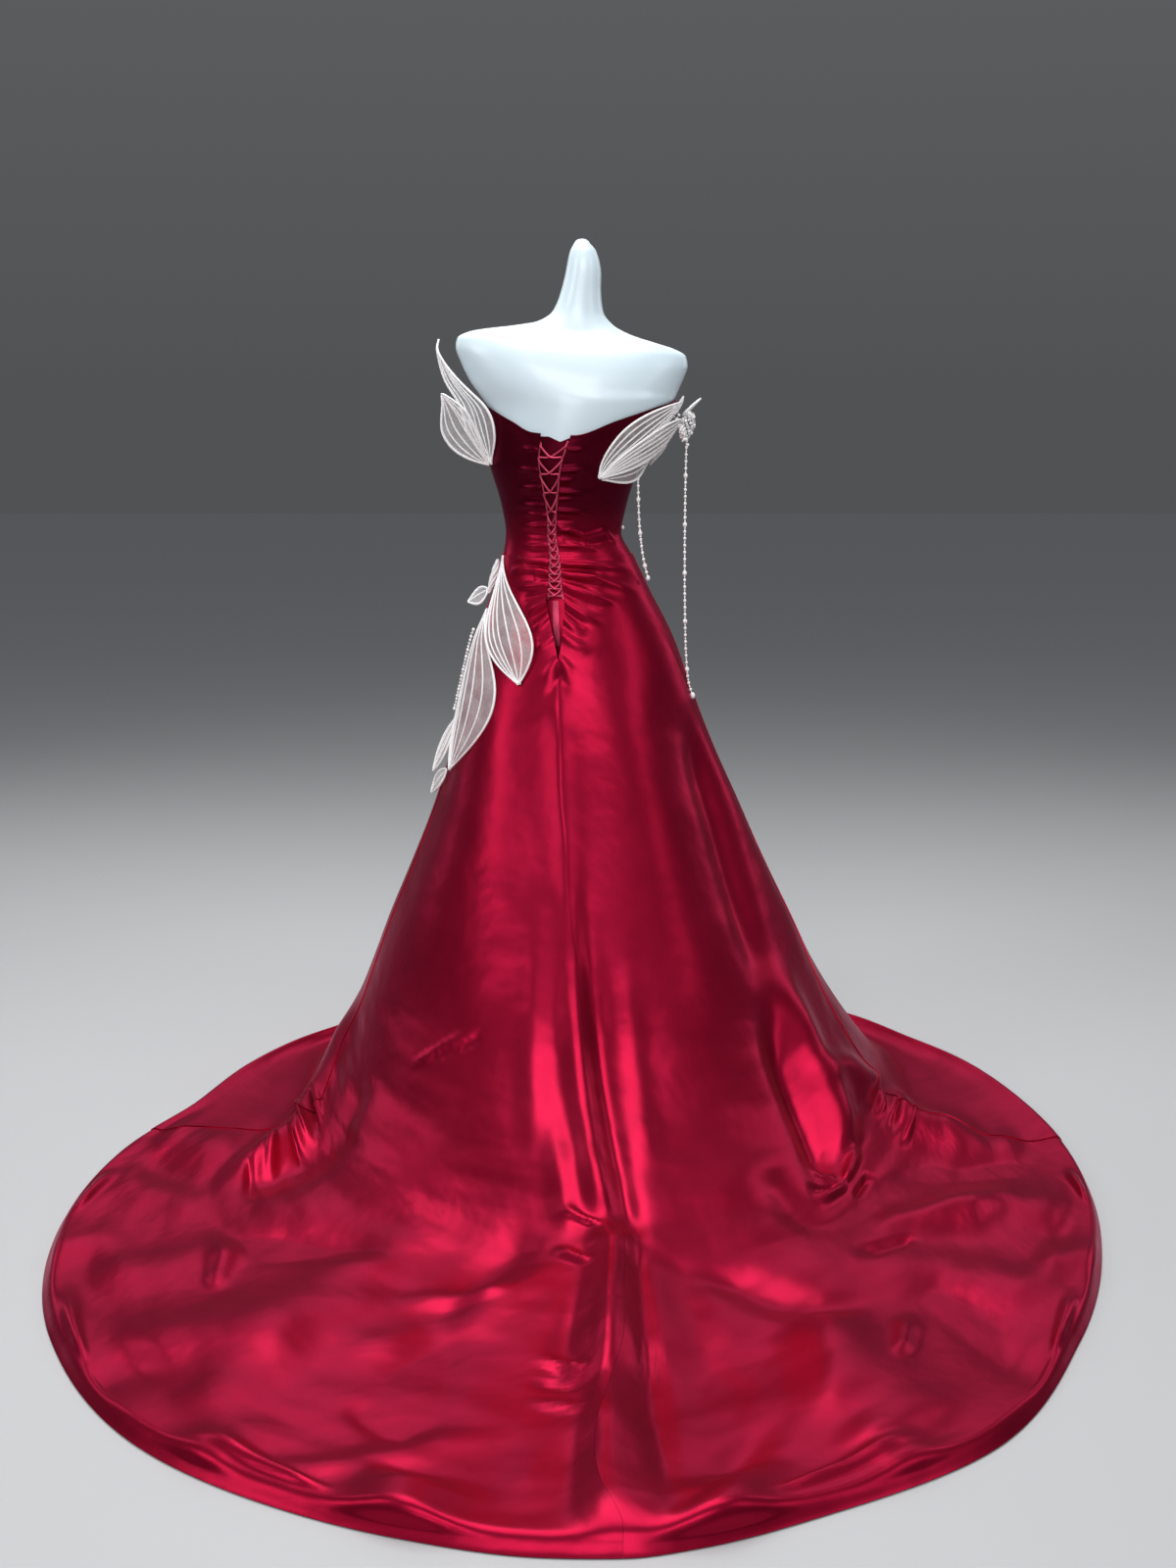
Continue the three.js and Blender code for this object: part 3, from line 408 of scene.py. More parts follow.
def tube(bm, points, radius, sides=8):
    """A closed round tube along points (mm), its radius one number or one for each point."""
    points = np.asarray(points, float)
    along = unit(np.gradient(points, axis=0))
    start = np.cross(along[0], [0, 0, 1] if abs(along[0][2]) < 0.9 else [1, 0, 0])
    side = [start / np.linalg.norm(start)]
    for direction in along[1:]:
        turned = side[-1] - direction * side[-1].dot(direction)
        side.append(turned / np.linalg.norm(turned))
    side = np.array(side)
    up = np.cross(along, side)
    radius = np.broadcast_to(radius, len(points))
    turns = np.linspace(0, 2 * np.pi, sides + 1)
    ring = np.cos(turns)[None, :, None] * side[:, None] + np.sin(turns)[None, :, None] * up[:, None]
    roll_up(bm, points[:, None] + ring * radius[:, None, None])


def through(places, count):
    """count points on a smooth curve through the given places."""
    places = np.asarray(places, float)
    padded = np.vstack([2 * places[0] - places[1], places, 2 * places[-1] - places[-2]])
    t = np.linspace(0, len(places) - 1, 12 * len(places))
    i = np.minimum(t.astype(int), len(places) - 2)
    u = (t - i)[:, None]
    a, b, c, d = (padded[i + k] for k in range(4))
    fine = 0.5 * (2 * b + (c - a) * u + (2 * a - 5 * b + 4 * c - d) * u**2 + (3 * b - a - 3 * c + d) * u**3)
    length = np.concatenate([[0], np.linalg.norm(np.diff(fine, axis=0), axis=1).cumsum()])
    at = np.linspace(0, length[-1], count)
    return np.stack([np.interp(at, length, fine[:, k]) for k in range(3)], axis=-1)


print("helpers ready")

# %% [markdown]
# ## Bead strands
#
# Two strings of pearls hang free from the shoulder ornament. Each is one smooth route straight down, and then
# out over the flare of the skirt. The cords are made first, because their length and the room they take
# decide the frame. The beads and the thread are one mesh.

# %% Pearl and stone finishes
def finish(name, colour, roughness, **sockets):
    paint = bpy.data.materials.new(name)
    paint.use_nodes = True
    shader = paint.node_tree.nodes["Principled BSDF"]
    shader.inputs["Base Color"].default_value = (*colour, 1)
    shader.inputs["Roughness"].default_value = roughness
    for socket, value in sockets.items():
        shader.inputs[socket.replace("_", " ")].default_value = value
    return paint, paint.node_tree, shader


def add_node(tree, kind, **settings):
    node = tree.nodes.new(kind)
    for key, value in settings.items():
        if key in node.inputs:
            node.inputs[key].default_value = value
        else:
            setattr(node, key, value)
    return node


def through_node(tree, value, kind, **settings):
    node = add_node(tree, kind, **settings)
    tree.links.new(value, node.inputs[0])
    return node.outputs[0]


def place_in(tree, kind, **stretch):
    """Where a pattern is looked up: the object's own place or its UV map, stretched if asked."""
    where = add_node(tree, "ShaderNodeTexCoord").outputs[kind]
    return through_node(tree, where, "ShaderNodeMapping", **stretch) if stretch else where


def noise(tree, where, scale, detail=3):
    return through_node(tree, where, "ShaderNodeTexNoise", Scale=scale, Detail=detail, Roughness=0.5)


def ramp(tree, value, *stops):
    """Colours or greys by value. Each stop is a place from 0 to 1 and a colour or a grey."""
    node = add_node(tree, "ShaderNodeValToRGB")
    for element, (place, colour) in zip(node.color_ramp.elements, stops):
        element.position = place
        element.color = (*colour, 1) if isinstance(colour, tuple) else (colour, colour, colour, 1)
    tree.links.new(value, node.inputs["Fac"])
    return node.outputs["Color"]


def mottle(tree, shader, value, low, high):
    tree.links.new(ramp(tree, value, (0.3, low), (0.7, high)), shader.inputs["Base Color"])


def ease(tree, value, *ends):
    """A smooth step from one value to another. ends: where it starts and stops, and from what to what."""
    node = add_node(tree, "ShaderNodeMapRange", interpolation_type="SMOOTHSTEP")
    for socket, end in zip(("From Min", "From Max", "To Min", "To Max"), ends):
        node.inputs[socket].default_value = end
    tree.links.new(value, node.inputs["Value"])
    return node.outputs["Result"]


def combine(tree, operation, *values):
    node = add_node(tree, "ShaderNodeMath", operation=operation)
    for socket, value in zip(node.inputs, values):
        if isinstance(value, float):
            socket.default_value = value
        else:
            tree.links.new(value, socket)
    return node.outputs[0]


def bump(tree, shader, height, strength, distance, below=None):
    node = add_node(tree, "ShaderNodeBump", Strength=strength, Distance=distance)
    tree.links.new(height, node.inputs["Height"])
    if below is not None:
        tree.links.new(below.outputs["Normal"], node.inputs["Normal"])
    tree.links.new(node.outputs["Normal"], shader.inputs["Normal"])
    return node


def pearl_finish():
    paint, tree, shader = finish("pearl", (0.97, 0.95, 0.93), 0.22, Coat_Weight=0.6, Coat_Roughness=0.08)
    place = place_in(tree, "Object")
    mottle(tree, shader, noise(tree, place, 90), (0.97, 0.93, 0.90), (0.98, 0.97, 0.98))
    bump(tree, shader, noise(tree, place, 900), 0.15, 0.0002)
    return paint


def crystal_finish():
    paint, tree, shader = finish("crystal", (0.95, 0.95, 0.97), 0.04, Specular_IOR_Level=0.9,
                                 Transmission_Weight=0.45, Coat_Weight=0.5)
    sparkle = noise(tree, place_in(tree, "Object"), 300)
    tint = ramp(tree, sparkle, (0.35, (0.80, 0.82, 0.86)), (0.6, (1.0, 0.99, 1.0)))
    tree.links.new(tint, shader.inputs["Base Color"])
    return paint


pearl = pearl_finish()
crystal = crystal_finish()
print("pearl and crystal")

# %% Bead strands
OUTER_STRAND = [
    (-201, 9, 1231.8), (-200.2, 10, 1205), (-199.6, 11, 1175), (-199.3, 12, 1144),
    (-199.1, 13, 1112), (-199, 14, 1080), (-199, 15, 1045), (-199.1, 17, 1010),
    (-199.3, 18, 975), (-199.8, 20, 940), (-200.4, 22, 905), (-201.2, 24, 870),
    (-202.4, 27, 838), (-204.6, 30, 808), (-208, 33, 782), (-215.4, 36, 757),
]
INNER_STRAND = [
    (-110.4, 39, 1161.9), (-110.6, 39.2, 1150), (-110.8, 39.4, 1138), (-111.1, 39.4, 1126),
    (-111.5, 39.3, 1114), (-112, 39.2, 1102), (-112.7, 39, 1090), (-113.5, 38.8, 1077),
    (-114.6, 38.5, 1064), (-116, 38.2, 1051), (-117.6, 37.6, 1038), (-119.3, 36.9, 1026),
    (-121.2, 36.2, 1015), (-123.8, 35.2, 1003), (-126.8, 34.1, 991), (-130, 33, 978),
]
BEAD_PITCH = 12.8
PEARL, LARGE_PEARL, SPACER, SEED, THREAD = 3.0, 4.3, 1.8, 2.4, 0.8


def bead(bm, place, radius, stretch=1.0):
    made = bmesh.ops.create_uvsphere(bm, u_segments=10, v_segments=7, radius=radius * MM)
    bmesh.ops.scale(bm, verts=made["verts"], vec=(1, 1, stretch))
    bmesh.ops.translate(bm, verts=made["verts"], vec=Vector(place) * MM)


def bead_strand(name, places, larger, last, node, close=None):
    """Pearls on a thread, every so many of them larger, with close small ones over a share of the way."""
    count = round(np.linalg.norm(np.diff(places, axis=0), axis=1).sum() / BEAD_PITCH) + 1
    on = through(places, count)
    bm = bmesh.new()
    tube(bm, through(places, 200), THREAD, sides=6)
    for k, place in enumerate(on):
        bead(bm, place, LARGE_PEARL if k % larger == larger - 2 else PEARL, 1.15)
    if close:
        start, stop = (round(share * 8 * count) for share in close)
        for place in through(places, 8 * count)[start:stop:4]:
            bead(bm, place, SEED)
    for place in through(places, 2 * count - 1)[1::2]:
        bead(bm, place, SPACER, 1.3)
    piece = add_piece(name, bm, pearl, [node])
    drop = bmesh.new()
    bead(drop, on[-1] + [0, 0, 1], last, 1.25)
    drop_piece = add_piece(name + "_drop", drop, pearl)
    length = np.linalg.norm(np.diff(through(places, 200), axis=0), axis=1).sum() * MM
    [tuple(p) for p in through(places, 60) * MM]
    print(name, count, "beads,", round(float(length), 3), "m")
    return piece


bead_strand("pearl_strand_outer", OUTER_STRAND, 7, 5.0, "strand_outer")
bead_strand("pearl_strand_inner", INNER_STRAND, 5, 4.2, "strand_inner", (0.5, 0.68))

# %% [markdown]
# ## Dress form
#
# The form is one moulded shell, so it is one closed surface: rings of the body's table from its
# cut bottom to the rounded tip of the neck. A hard gloss with a faint blue in the white, and a
# very slight unevenness, makes it a lacquered moulding and not a flat white shape.

# %% Dress form
def shell_finish():
    paint, tree, shader = finish("moulded_shell", (0.68, 0.79, 0.85), 0.32, Coat_Weight=0.25,
                                 Coat_Roughness=0.12)
    place = place_in(tree, "Object")
    mottle(tree, shader, noise(tree, place, 6), (0.61, 0.74, 0.81), (0.68, 0.79, 0.85))
    broad = bump(tree, shader, noise(tree, place, 14), 0.12, 0.004)
    bump(tree, shader, noise(tree, place, 700), 0.05, 0.0003, broad)
    return paint


def metal_finish():
    paint, tree, shader = finish("brushed_stand", (0.55, 0.56, 0.58), 0.34, Metallic=1.0)
    grain = noise(tree, place_in(tree, "Object", Scale=(40, 40, 900)), 1, 4)
    mottle(tree, shader, grain, (0.42, 0.43, 0.45), (0.62, 0.63, 0.65))
    bump(tree, shader, grain, 0.1, 0.0004)
    return paint


def make_form():
    bm = bmesh.new()
    heights = np.concatenate([np.linspace(830, 1300, 60), np.linspace(1305, 1587, 70)])
    turns = np.linspace(0, 360, 97)
    points = body_point(turns[None, :], heights[:, None], 0)
    tip = points[-1].mean(axis=0)
    caps = [tip + (points[-1] - tip) * k + [0, 0, rise] for k, rise in ((0.85, 3), (0.6, 5.4), (0.3, 6.7))]
    roll_up(bm, np.concatenate([points, np.array(caps)]))
    piece = add_piece("form_shell", bm, shell_finish(), ["form_torso"])
    return piece


make_form()
metal = metal_finish()
for name in ("form_pole", "form_base"):
    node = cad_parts[name]
    node.data.materials.clear()
    node.data.materials.append(metal)

# %% [markdown]
# ## Satin
#
# Satin floats most of its threads over the face of the cloth, so light slides along it in broad
# tinted streaks. The finish is a deep crimson whose reflections keep some of the red, a fine
# ribbed weave that follows the UV map, and the shallow waves that pressed cloth always keeps.
# The broadest swells belong to the cloth on the floor and fade where it hangs. The bodice is painted darker
# towards its top, to a dark wine: painted shade.

# %% Satin
# Heights in metres over which the satin is painted darker towards the top: painted shade.
PAINTED_SHADE_HEIGHTS = (1.02, 1.13)
LYING_HEIGHTS = (0.10, 0.30)
CRIMSON = ((0.26, 0.0026, 0.021), (0.34, 0.0046, 0.031))


def satin_finish(name, deep, bright, painted_shade_colour=None):
    paint, tree, shader = finish(name, bright, 0.33, Metallic=0.8, Specular_IOR_Level=0.18, Sheen_Weight=0.03,
                                 Sheen_Tint=(0.9, 0.25, 0.35, 1), Specular_Tint=(1.0, 0.50, 0.66, 1))
    where = place_in(tree, "UV")
    height = add_node(tree, "ShaderNodeSeparateXYZ")
    tree.links.new(place_in(tree, "Object"), height.inputs["Vector"])
    slub = noise(tree, place_in(tree, "UV", Scale=(7, 4, 1)), 1.0, 4)
    colour = ramp(tree, slub, (0.3, deep), (0.7, bright))
    # Towards the top the colour is mixed to a dark wine, a painted shade.
    if painted_shade_colour:
        painted_shade_mix = add_node(tree, "ShaderNodeMixRGB", Color2=(*painted_shade_colour, 1))
        tree.links.new(ease(tree, height.outputs["Z"], *PAINTED_SHADE_HEIGHTS), painted_shade_mix.inputs["Fac"])
        tree.links.new(colour, painted_shade_mix.inputs["Color1"])
        colour = painted_shade_mix.outputs["Color"]
    tree.links.new(colour, shader.inputs["Base Color"])
    threads = add_node(tree, "ShaderNodeTexWave", Scale=420, Distortion=0.6, bands_direction="X")
    tree.links.new(where, threads.inputs["Vector"])
    lying = noise(tree, place_in(tree, "UV", Scale=(2.2, 5.5, 1), Rotation=(0, 0, 0.4)), 1.0, 2)
    swell = combine(tree, "MULTIPLY", lying, ease(tree, height.outputs["Z"], *LYING_HEIGHTS, 1.0, 0.3))
    broad = bump(tree, shader, swell, 0.55, 0.034)
    waves = bump(tree, shader, noise(tree, where, 13, 2), 0.22, 0.010, broad)
    crumple = bump(tree, shader, noise(tree, where, 42, 3), 0.08, 0.003, waves)
    bump(tree, shader, threads.outputs["Fac"], 0.05, 0.0002, crumple)
    return paint


satin = satin_finish("crimson_satin", *CRIMSON)
# The same crimson satin, painted darker towards the top of the bodice as painted shade.
satin_with_painted_shade = satin_finish("satin_with_painted_shade", *CRIMSON, painted_shade_colour=(0.075, 0.0009, 0.009))
# The cord, loops and lace end are the same satin, painted lighter and pinker as a painted highlight.
cord_satin_painted_highlight = satin_finish("crimson_cord_painted_highlight", (0.42, 0.030, 0.080), (0.62, 0.090, 0.16))
print("satin")

# %% [markdown]
# ## Skirt and train
# Three gores make the skirt: one front and two backs, joined down the middle of the train. Each is one grid
# from the waist to the hem. On top of the large folds come the finer ones, listed in tables: where the seam
# draws the cloth in, where the hip is pulled to the lacing, and where the hem turns back on the floor. They
# are soft and all different, as creases in real satin are.

# %% Finer falls and creases of the skirt
FALLS = table("start at stop end width rise", [
    (5.0, 44, 12.0, 50, 70, 6), (5.5, 24, 11.0, 20, 60, -5), (5.0, -22, 12.5, -30, 75, 7),
    (5.4, -50, 11, -44, 60, -5), (7.0, -80, 13, -78, 60, 6), (5.0, 76, 12.0, 74, 60, -5),
    (9.5, 15, 14.5, 12, 34, 6), (10.2, -9, 14.8, -8, 30, 5), (12.6, 9, 16.8, 6, 30, 6),
    (13.2, 60, 17.4, 56, 44, -9), (14.5, -30, 18.0, -33, 46, -9), (15.6, 14, 19.8, 16, 60, -9),
    (16.4, 30, 21.4, 27, 70, 9), (17.4, 36, 22.0, 40, 70, -8), (16.8, -9, 21.5, -8, 44, -7),
    (18.4, -33, 22.6, -36, 70, 11), (19.3, 2.6, 22.6, 2.2, 34, 7), (20.4, -3.8, 23.2, -3.6, 26, 8),
    (17.0, -55, 22.2, -61, 70, -8), (18.6, 49, 22.6, 55, 70, 10), (21.4, 17, 23.6, 18, 50, 10),
    (21.6, 27, 23.5, 26, 44, -7), (21.3, -15, 23.5, -16, 50, 10), (21.5, -27, 23.5, -26, 46, -7),
    (21.2, 44, 23.5, 43, 52, 9), (21.2, -40, 23.5, -42, 56, 9), (8, 120, 16, 122, 50, 8),
    (8, -118, 16, -121, 50, 8), (8, 178, 16, 179, 60, 9), (9, 165, 16, 163, 40, -7),
    (9, -166, 16, -168, 40, -6), (9, 104, 16, 102, 44, -6), (9, -103, 16, -101, 44, -6),
    (17.2, 8, 20.6, 20, 60, 10), (18.2, 16, 21.8, 9, 55, -9), (19.6, 24, 22.6, 20, 60, 12),
    (17.6, 28, 20.2, 44, 55, -11), (18.8, 40, 22.4, 38, 62, 13), (19.4, 50, 22.2, 60, 58, -9),
    (17.4, -12, 19.8, -24, 60, -12), (18.6, -22, 21.8, -12, 64, 12), (19.2, -34, 22.4, -26, 62, -10),
    (17.8, -40, 21.0, -52, 60, 12), (19.8, -48, 22.6, -44, 56, -9), (18.4, -60, 21.6, -66, 58, 9),
    (20.6, 6, 22.8, 14, 42, 9), (20.8, -10, 22.9, -4, 40, -8),
    (16.6, -0.4, 23.6, -1.0, 20, 9), (16.4, -3.8, 23.2, -4.0, 17, -11), (17.5, 3.4, 21.5, 2.4, 26, -6),
])
CREASES = table("row_1 angle_1 row_2 angle_2 width rise", [
    (0.30, 15, 0.05, 56, 5, 4.8), (0.90, 15, 0.65, 34, 6, 5.9), (0.72, 30, 0.80, 58, 6, 4.2),
    (1.40, 15, 1.55, 48, 5, 5), (1.95, 15, 2.70, 36, 7, 5.6), (2.60, 15, 3.50, 28, 7, 4.2),
    (0.60, 15, 0.42, 44, 4, -3.6), (1.16, 15, 1.10, 30, 5, -4.2), (1.68, 15, 2.05, 40, 5, -3.9),
    (2.28, 15, 3.10, 31, 6, -3.4), (0.36, 5, 0.55, -30, 5, 5.6), (0.50, -18, 0.78, -66, 7, 3.4),
    (0.92, 5, 1.25, -34, 6, 6.2), (1.15, -20, 1.85, -62, 8, 3.2), (1.42, 5, 2.30, -40, 6, 5.6),
    (2.00, 6, 3.20, -22, 7, 5.6), (2.65, 7, 3.70, -8, 7, 3.9), (0.64, 5, 0.80, -40, 4, -4.2),
    (1.18, 5, 1.55, -26, 5, -4.5), (1.72, 5, 2.60, -28, 6, -4.2), (2.35, 6, 3.40, -12, 6, -3.4),
    (3.4, 8, 4.6, -10, 8, 3.1), (3.6, 12, 4.5, 26, 8, 3.1), (4.8, 8, 5.7, 1, 7, 2.8),
    (4.9, 10, 5.9, 17, 7, 2.6),
    (5.6, 9, 6.4, 15, 8, -2.2), (5.4, 9, 6.3, 3, 8, -2.4),
    (12.8, 43, 12.0, 29, 7, 6.8), (12.3, 31, 12.05, 26, 6, -5.4), (12.6, 39, 12.3, 33, 6, -5.4),
    (16.0, 2, 15.4, 8, 9, 8.1), (17.4, 3, 16.9, 9, 10, 9.5), (19.6, 1, 19.3, 5, 9, 9.5),
    (19.9, 1, 19.8, 5, 8, -8.1), (20.3, 0.5, 20.1, 4.5, 9, 8.1), (15.9, -44, 15.0, -39, 12, 10.8),
    (16.3, -43, 15.7, -36, 12, -10.8), (16.6, -44, 16.5, -36, 12, 9.5), (16.4, -46, 15.6, -54, 14, 13.5),
    (17.2, -45, 16.9, -52, 14, -12.2), (16.2, 76, 16.6, 66, 12, 12.2), (16.7, 74, 17.1, 63, 12, -10.8),
    (17.3, 72, 17.5, 61, 13, 12.2), (18.1, 66, 17.9, 56, 12, -9.5), (18.6, 62, 18.8, 52, 13, 10.8),
    (19.2, 56, 19.2, 47, 12, -8.1), (15.4, -72, 15.9, -64, 14, 13.5), (16.5, -71, 16.8, -63, 12, -10.8),
    (17.4, -70, 17.6, -61, 13, 9.5), (22.8, 12, 22.5, 20, 13, 10.8), (22.6, -10, 22.3, -18, 14, 10.8),
    (22.9, 30, 22.6, 38, 14, 9.5), (22.9, -30, 22.5, -37, 14, 9.5), (22.8, 50, 22.4, 57, 14, 9.5),
    (22.8, -52, 22.4, -58, 14, 10.8), (21.2, 10, 20.7, 15, 18, -8.1), (20.6, -22, 20.0, -27, 22, 10.8),
    (19.0, -38, 18.4, -31, 24, -10.8), (20.3, 34, 19.7, 41, 22, 10.8), (18.2, 12, 18.8, 22, 26, 12.2),
])
ROW_LENGTH = np.linalg.norm(np.diff(plain_skirt(np.arange(0, 24.9, 0.1), 8.0), axis=0), axis=-1) * 10


def crease_rise(row, angle, degree):
    rise = np.zeros(row.shape)
    for row_1, angle_1, row_2, angle_2, width, height in zip(*CREASES.values()):
        near = np.abs(row - (row_1 + row_2) / 2) < 3
        middle = plain_skirt(np.float64((row_1 + row_2) / 2), np.float64((angle_1 + angle_2) / 2))
        down = ROW_LENGTH[int(10 * (row_1 + row_2) / 2)]
        around = np.hypot(middle[0], middle[1]) * math.radians(1)
        run = np.array([(row_2 - row_1) * down, (angle_2 - angle_1) * around])
        length = np.hypot(*run)
        here = np.stack([(row[near] - row_1) * down, wrapped(angle[near] - angle_1) * around], axis=-1)
        share = here @ run / length**2
        spread = width * (0.65 + 0.7 * np.clip(share, 0, 1))
        away = (here[:, 0] * run[1] - here[:, 1] * run[0]) / length / spread
        fade = smoothstep(np.minimum(3 * share + 0.6, 1.9 * (1 - share)))
        rise[near] += height * np.exp(-away * away) * fade
    return rise


def fine_skirt(row, angle, degree):
    seam = np.where(row <= FLOOR_ROW, smooth(SKIRT, "row", "seam", row), smooth(TRAIN, "row", "seam", row))
    beside = wrapped(angle - seam) * degree
    stitched = -0.6 * np.exp(-(beside / 2.5) ** 2) * smoothstep((row - 4.8) / 0.8)
    rise = fold_rise(FALLS, row, angle, degree) + crease_rise(row, angle, degree)
    return (rise + stitched) * smoothstep(row / 0.25 + 0.1) * smoothstep((HEM_ROW - row) / 0.4)


print(len(FALLS["start"]), "finer falls and", len(CREASES["rise"]), "creases")

# %% Skirt panels
def seam_edge(column, row, sign, side):
    rows = np.asarray(row, float)
    hanging, lying = smooth(SKIRT, "row", column, rows), smooth(TRAIN, "row", column, rows)
    angle = sign * np.where(rows <= FLOOR_ROW, hanging, lying)
    z = smooth(SKIRT, "row", "z", np.minimum(rows, FLOOR_ROW))
    degree = np.linalg.norm(skirt_point(rows, angle + 0.5) - skirt_point(rows, angle - 0.5), axis=-1)
    away = np.where((column == "seam") & (z > SLIT_END_Z), opening_half(z), 0.2)
    return angle + side * away / degree


SKIRT_ROWS = np.concatenate([
    np.linspace(0, 5, 61)[:-1], np.linspace(5, FLOOR_ROW, 131)[:-1], np.linspace(FLOOR_ROW, HEM_ROW, 101),
])


def skirt_panel(name, node, columns, first, last, outward_at):
    across = np.linspace(0, 1, columns)[None, :]
    row = SKIRT_ROWS[:, None]
    start, end = first(SKIRT_ROWS)[:, None], last(SKIRT_ROWS)[:, None]
    angle = start + (end - start) * across
    points = skirt_point(row, angle, fine_skirt)
    points = points + skirt_out(row, angle, fine_skirt) * WALL
    points[..., 2] = np.maximum(points[..., 2], 0.2)
    piece = cloth(name, points, outward_at, WALL - 0.2, satin, [node])
    return piece


skirt_panel("skirt_gore_left", "skirt_back_left", 140, lambda r: seam_edge("seam", r, 1, 1),
            lambda r: seam_edge("side", r, 1, -1), (0.6, 0.6, 0.3))
skirt_panel("skirt_gore_right", "skirt_back_right", 140, lambda r: seam_edge("side", r, -1, 1),
            lambda r: seam_edge("seam", r, 1, -1), (-0.6, 0.6, 0.3))
skirt_panel("skirt_gore_front", "skirt_front", 130, lambda r: seam_edge("side", r, 1, 1),
            lambda r: 360 + seam_edge("side", r, -1, -1), (0, -1, 0.2))

# %% [markdown]
# ## Bodice
#
# The bodice is three panels held by bones, with the two backs apart over the lacing. The lacing
# pulls on the cloth, so each back panel has short creases that start at its laced edge and fade
# towards the side. The top edge is turned in and pressed, which leaves a thin raised line.

# %% Bodice
BODICE_PULLS = table("side z start length drop width rise", [
    (1, 1217, 4, 34, -2, 3.6, 2.4), (1, 1180, 2, 52, -2, 4.0, 3), (1, 1165, 4, 30, 2, 3.0, -1.6),
    (1, 1149, 0, 60, 3, 4.2, 3.2), (1, 1133, 2, 44, 0, 3.2, -1.9), (1, 1117, 0, 66, 3, 4.4, 3.5),
    (1, 1098, 0, 58, -3, 3.8, 3), (1, 1089, 0, 40, 0, 3.0, -1.9), (1, 1080, 0, 66, 5, 4.2, 3.5),
    (1, 1062, 0, 50, -3, 3.6, -2.2), (1, 1044, 0, 62, 4, 4.4, 3.6), (1, 1031, 0, 44, 4, 3.4, -2),
    (-1, 1217, 4, 40, 2, 3.6, 2.4), (-1, 1192, 2, 30, 0, 3.0, -1.6), (-1, 1178, 0, 58, -3, 4.0, 3),
    (-1, 1162, 0, 36, 0, 3.4, 2.1), (-1, 1151, 0, 30, 2, 2.8, -1.5), (-1, 1140, 0, 70, 3, 4.4, 3.2),
    (-1, 1127, 0, 44, -2, 3.2, 2.2), (-1, 1107, 0, 66, 4, 4.2, 3.5), (-1, 1090, 0, 44, 2, 3.4, -2),
    (-1, 1069, 0, 40, -3, 3.8, 2.8), (-1, 1044, 0, 60, 5, 4.4, 3.5), (-1, 1031, 0, 40, 3, 3.2, -2),
])
WAIST_CREASES = table("z_1 off_1 z_2 off_2 width rise", [
    (1078, 10, 1060, 60, 5, 3.2), (1060, 60, 1070, 105, 5.5, 3.0), (1070, 105, 1046, 135, 5, 2.2),
    (1066, 12, 1046, 58, 4.5, -2.6), (1050, 14, 1036, 84, 4.8, 2.6), (1040, 60, 1052, 120, 4.6, -2.0),
])


def bodice_rise(angle, z, side):
    half = smooth(FORM, "z", "half", z) + OFF_FORM
    off = side * np.radians(wrapped(angle - CENTRE_BACK)) * half
    rise = np.zeros(off.shape)
    for of_side, at, start, length, drop, width, height in zip(*BODICE_PULLS.values()):
        if of_side != side:
            continue
        along = (off - opening_half(z) - start) / length
        away = (z - at + drop * along) / (width * (0.8 + 0.5 * np.clip(along, 0, 1)))
        rise += height * np.exp(-away * away) * smoothstep(np.minimum(1.5 * (1 - along), 3 * along + 0.7))
    if side < 0:
        for z_1, off_1, z_2, off_2, width, height in zip(*WAIST_CREASES.values()):
            run = np.array([z_2 - z_1, off_2 - off_1])
            share = ((z - z_1) * run[0] + (off - off_1) * run[1]) / run.dot(run)
            away = ((z - z_1) * run[1] - (off - off_1) * run[0]) / np.hypot(*run) / width
            fade = smoothstep(3 * np.minimum(share, 1 - share) + 0.4)
            rise += height * np.exp(-away * away) * fade
    return rise


def bodice_panel(name, node, columns, first, last, side, outward_at):
    up = np.linspace(0, 1, 111)[:, None]
    across = np.linspace(0, 1, columns)[None, :]
    bottom = WAIST_Z + 0.3
    guess = first(bottom) + (last(bottom) - first(bottom)) * across
    z = bottom + (neckline(guess) - bottom) * up
    angle = first(z) + (last(z) - first(z)) * across
    top = neckline(angle)
    z = bottom + (top - bottom) * up
    rise = bodice_rise(angle, z, side) if side else 0.5 * np.sin(z / 19 + angle / 30)
    edge_in = smoothstep((z - bottom) / 14) * smoothstep((top - z) / 10)
    turned = 0.7 * np.exp(-(((top - z) - 2.2) / 1.8) ** 2)
    points = body_point(angle, z, OFF_FORM + WALL + np.maximum(rise, -1.6) * edge_in + turned)
    # The bodice satin is painted darker towards its top: painted shade.
    piece = cloth(name, points, outward_at, WALL - 0.2, satin_with_painted_shade, [node])
    return piece


SIDE_GAP = math.degrees(0.15 / 80)
bodice_panel("bodice_left", "bodice_back_left", 90, lambda z: opening_angle(z, 1), lambda z: 90 - SIDE_GAP,
             1, (0.5, 0.8, 0))
bodice_panel("bodice_right", "bodice_back_right", 110, lambda z: -90 + SIDE_GAP,
             lambda z: opening_angle(z, -1), -1, (-0.5, 0.8, 0))
bodice_panel("bodice_middle", "bodice_front", 130, lambda z: 90 + SIDE_GAP, lambda z: 270 - SIDE_GAP,
             0, (0, -1, 0))

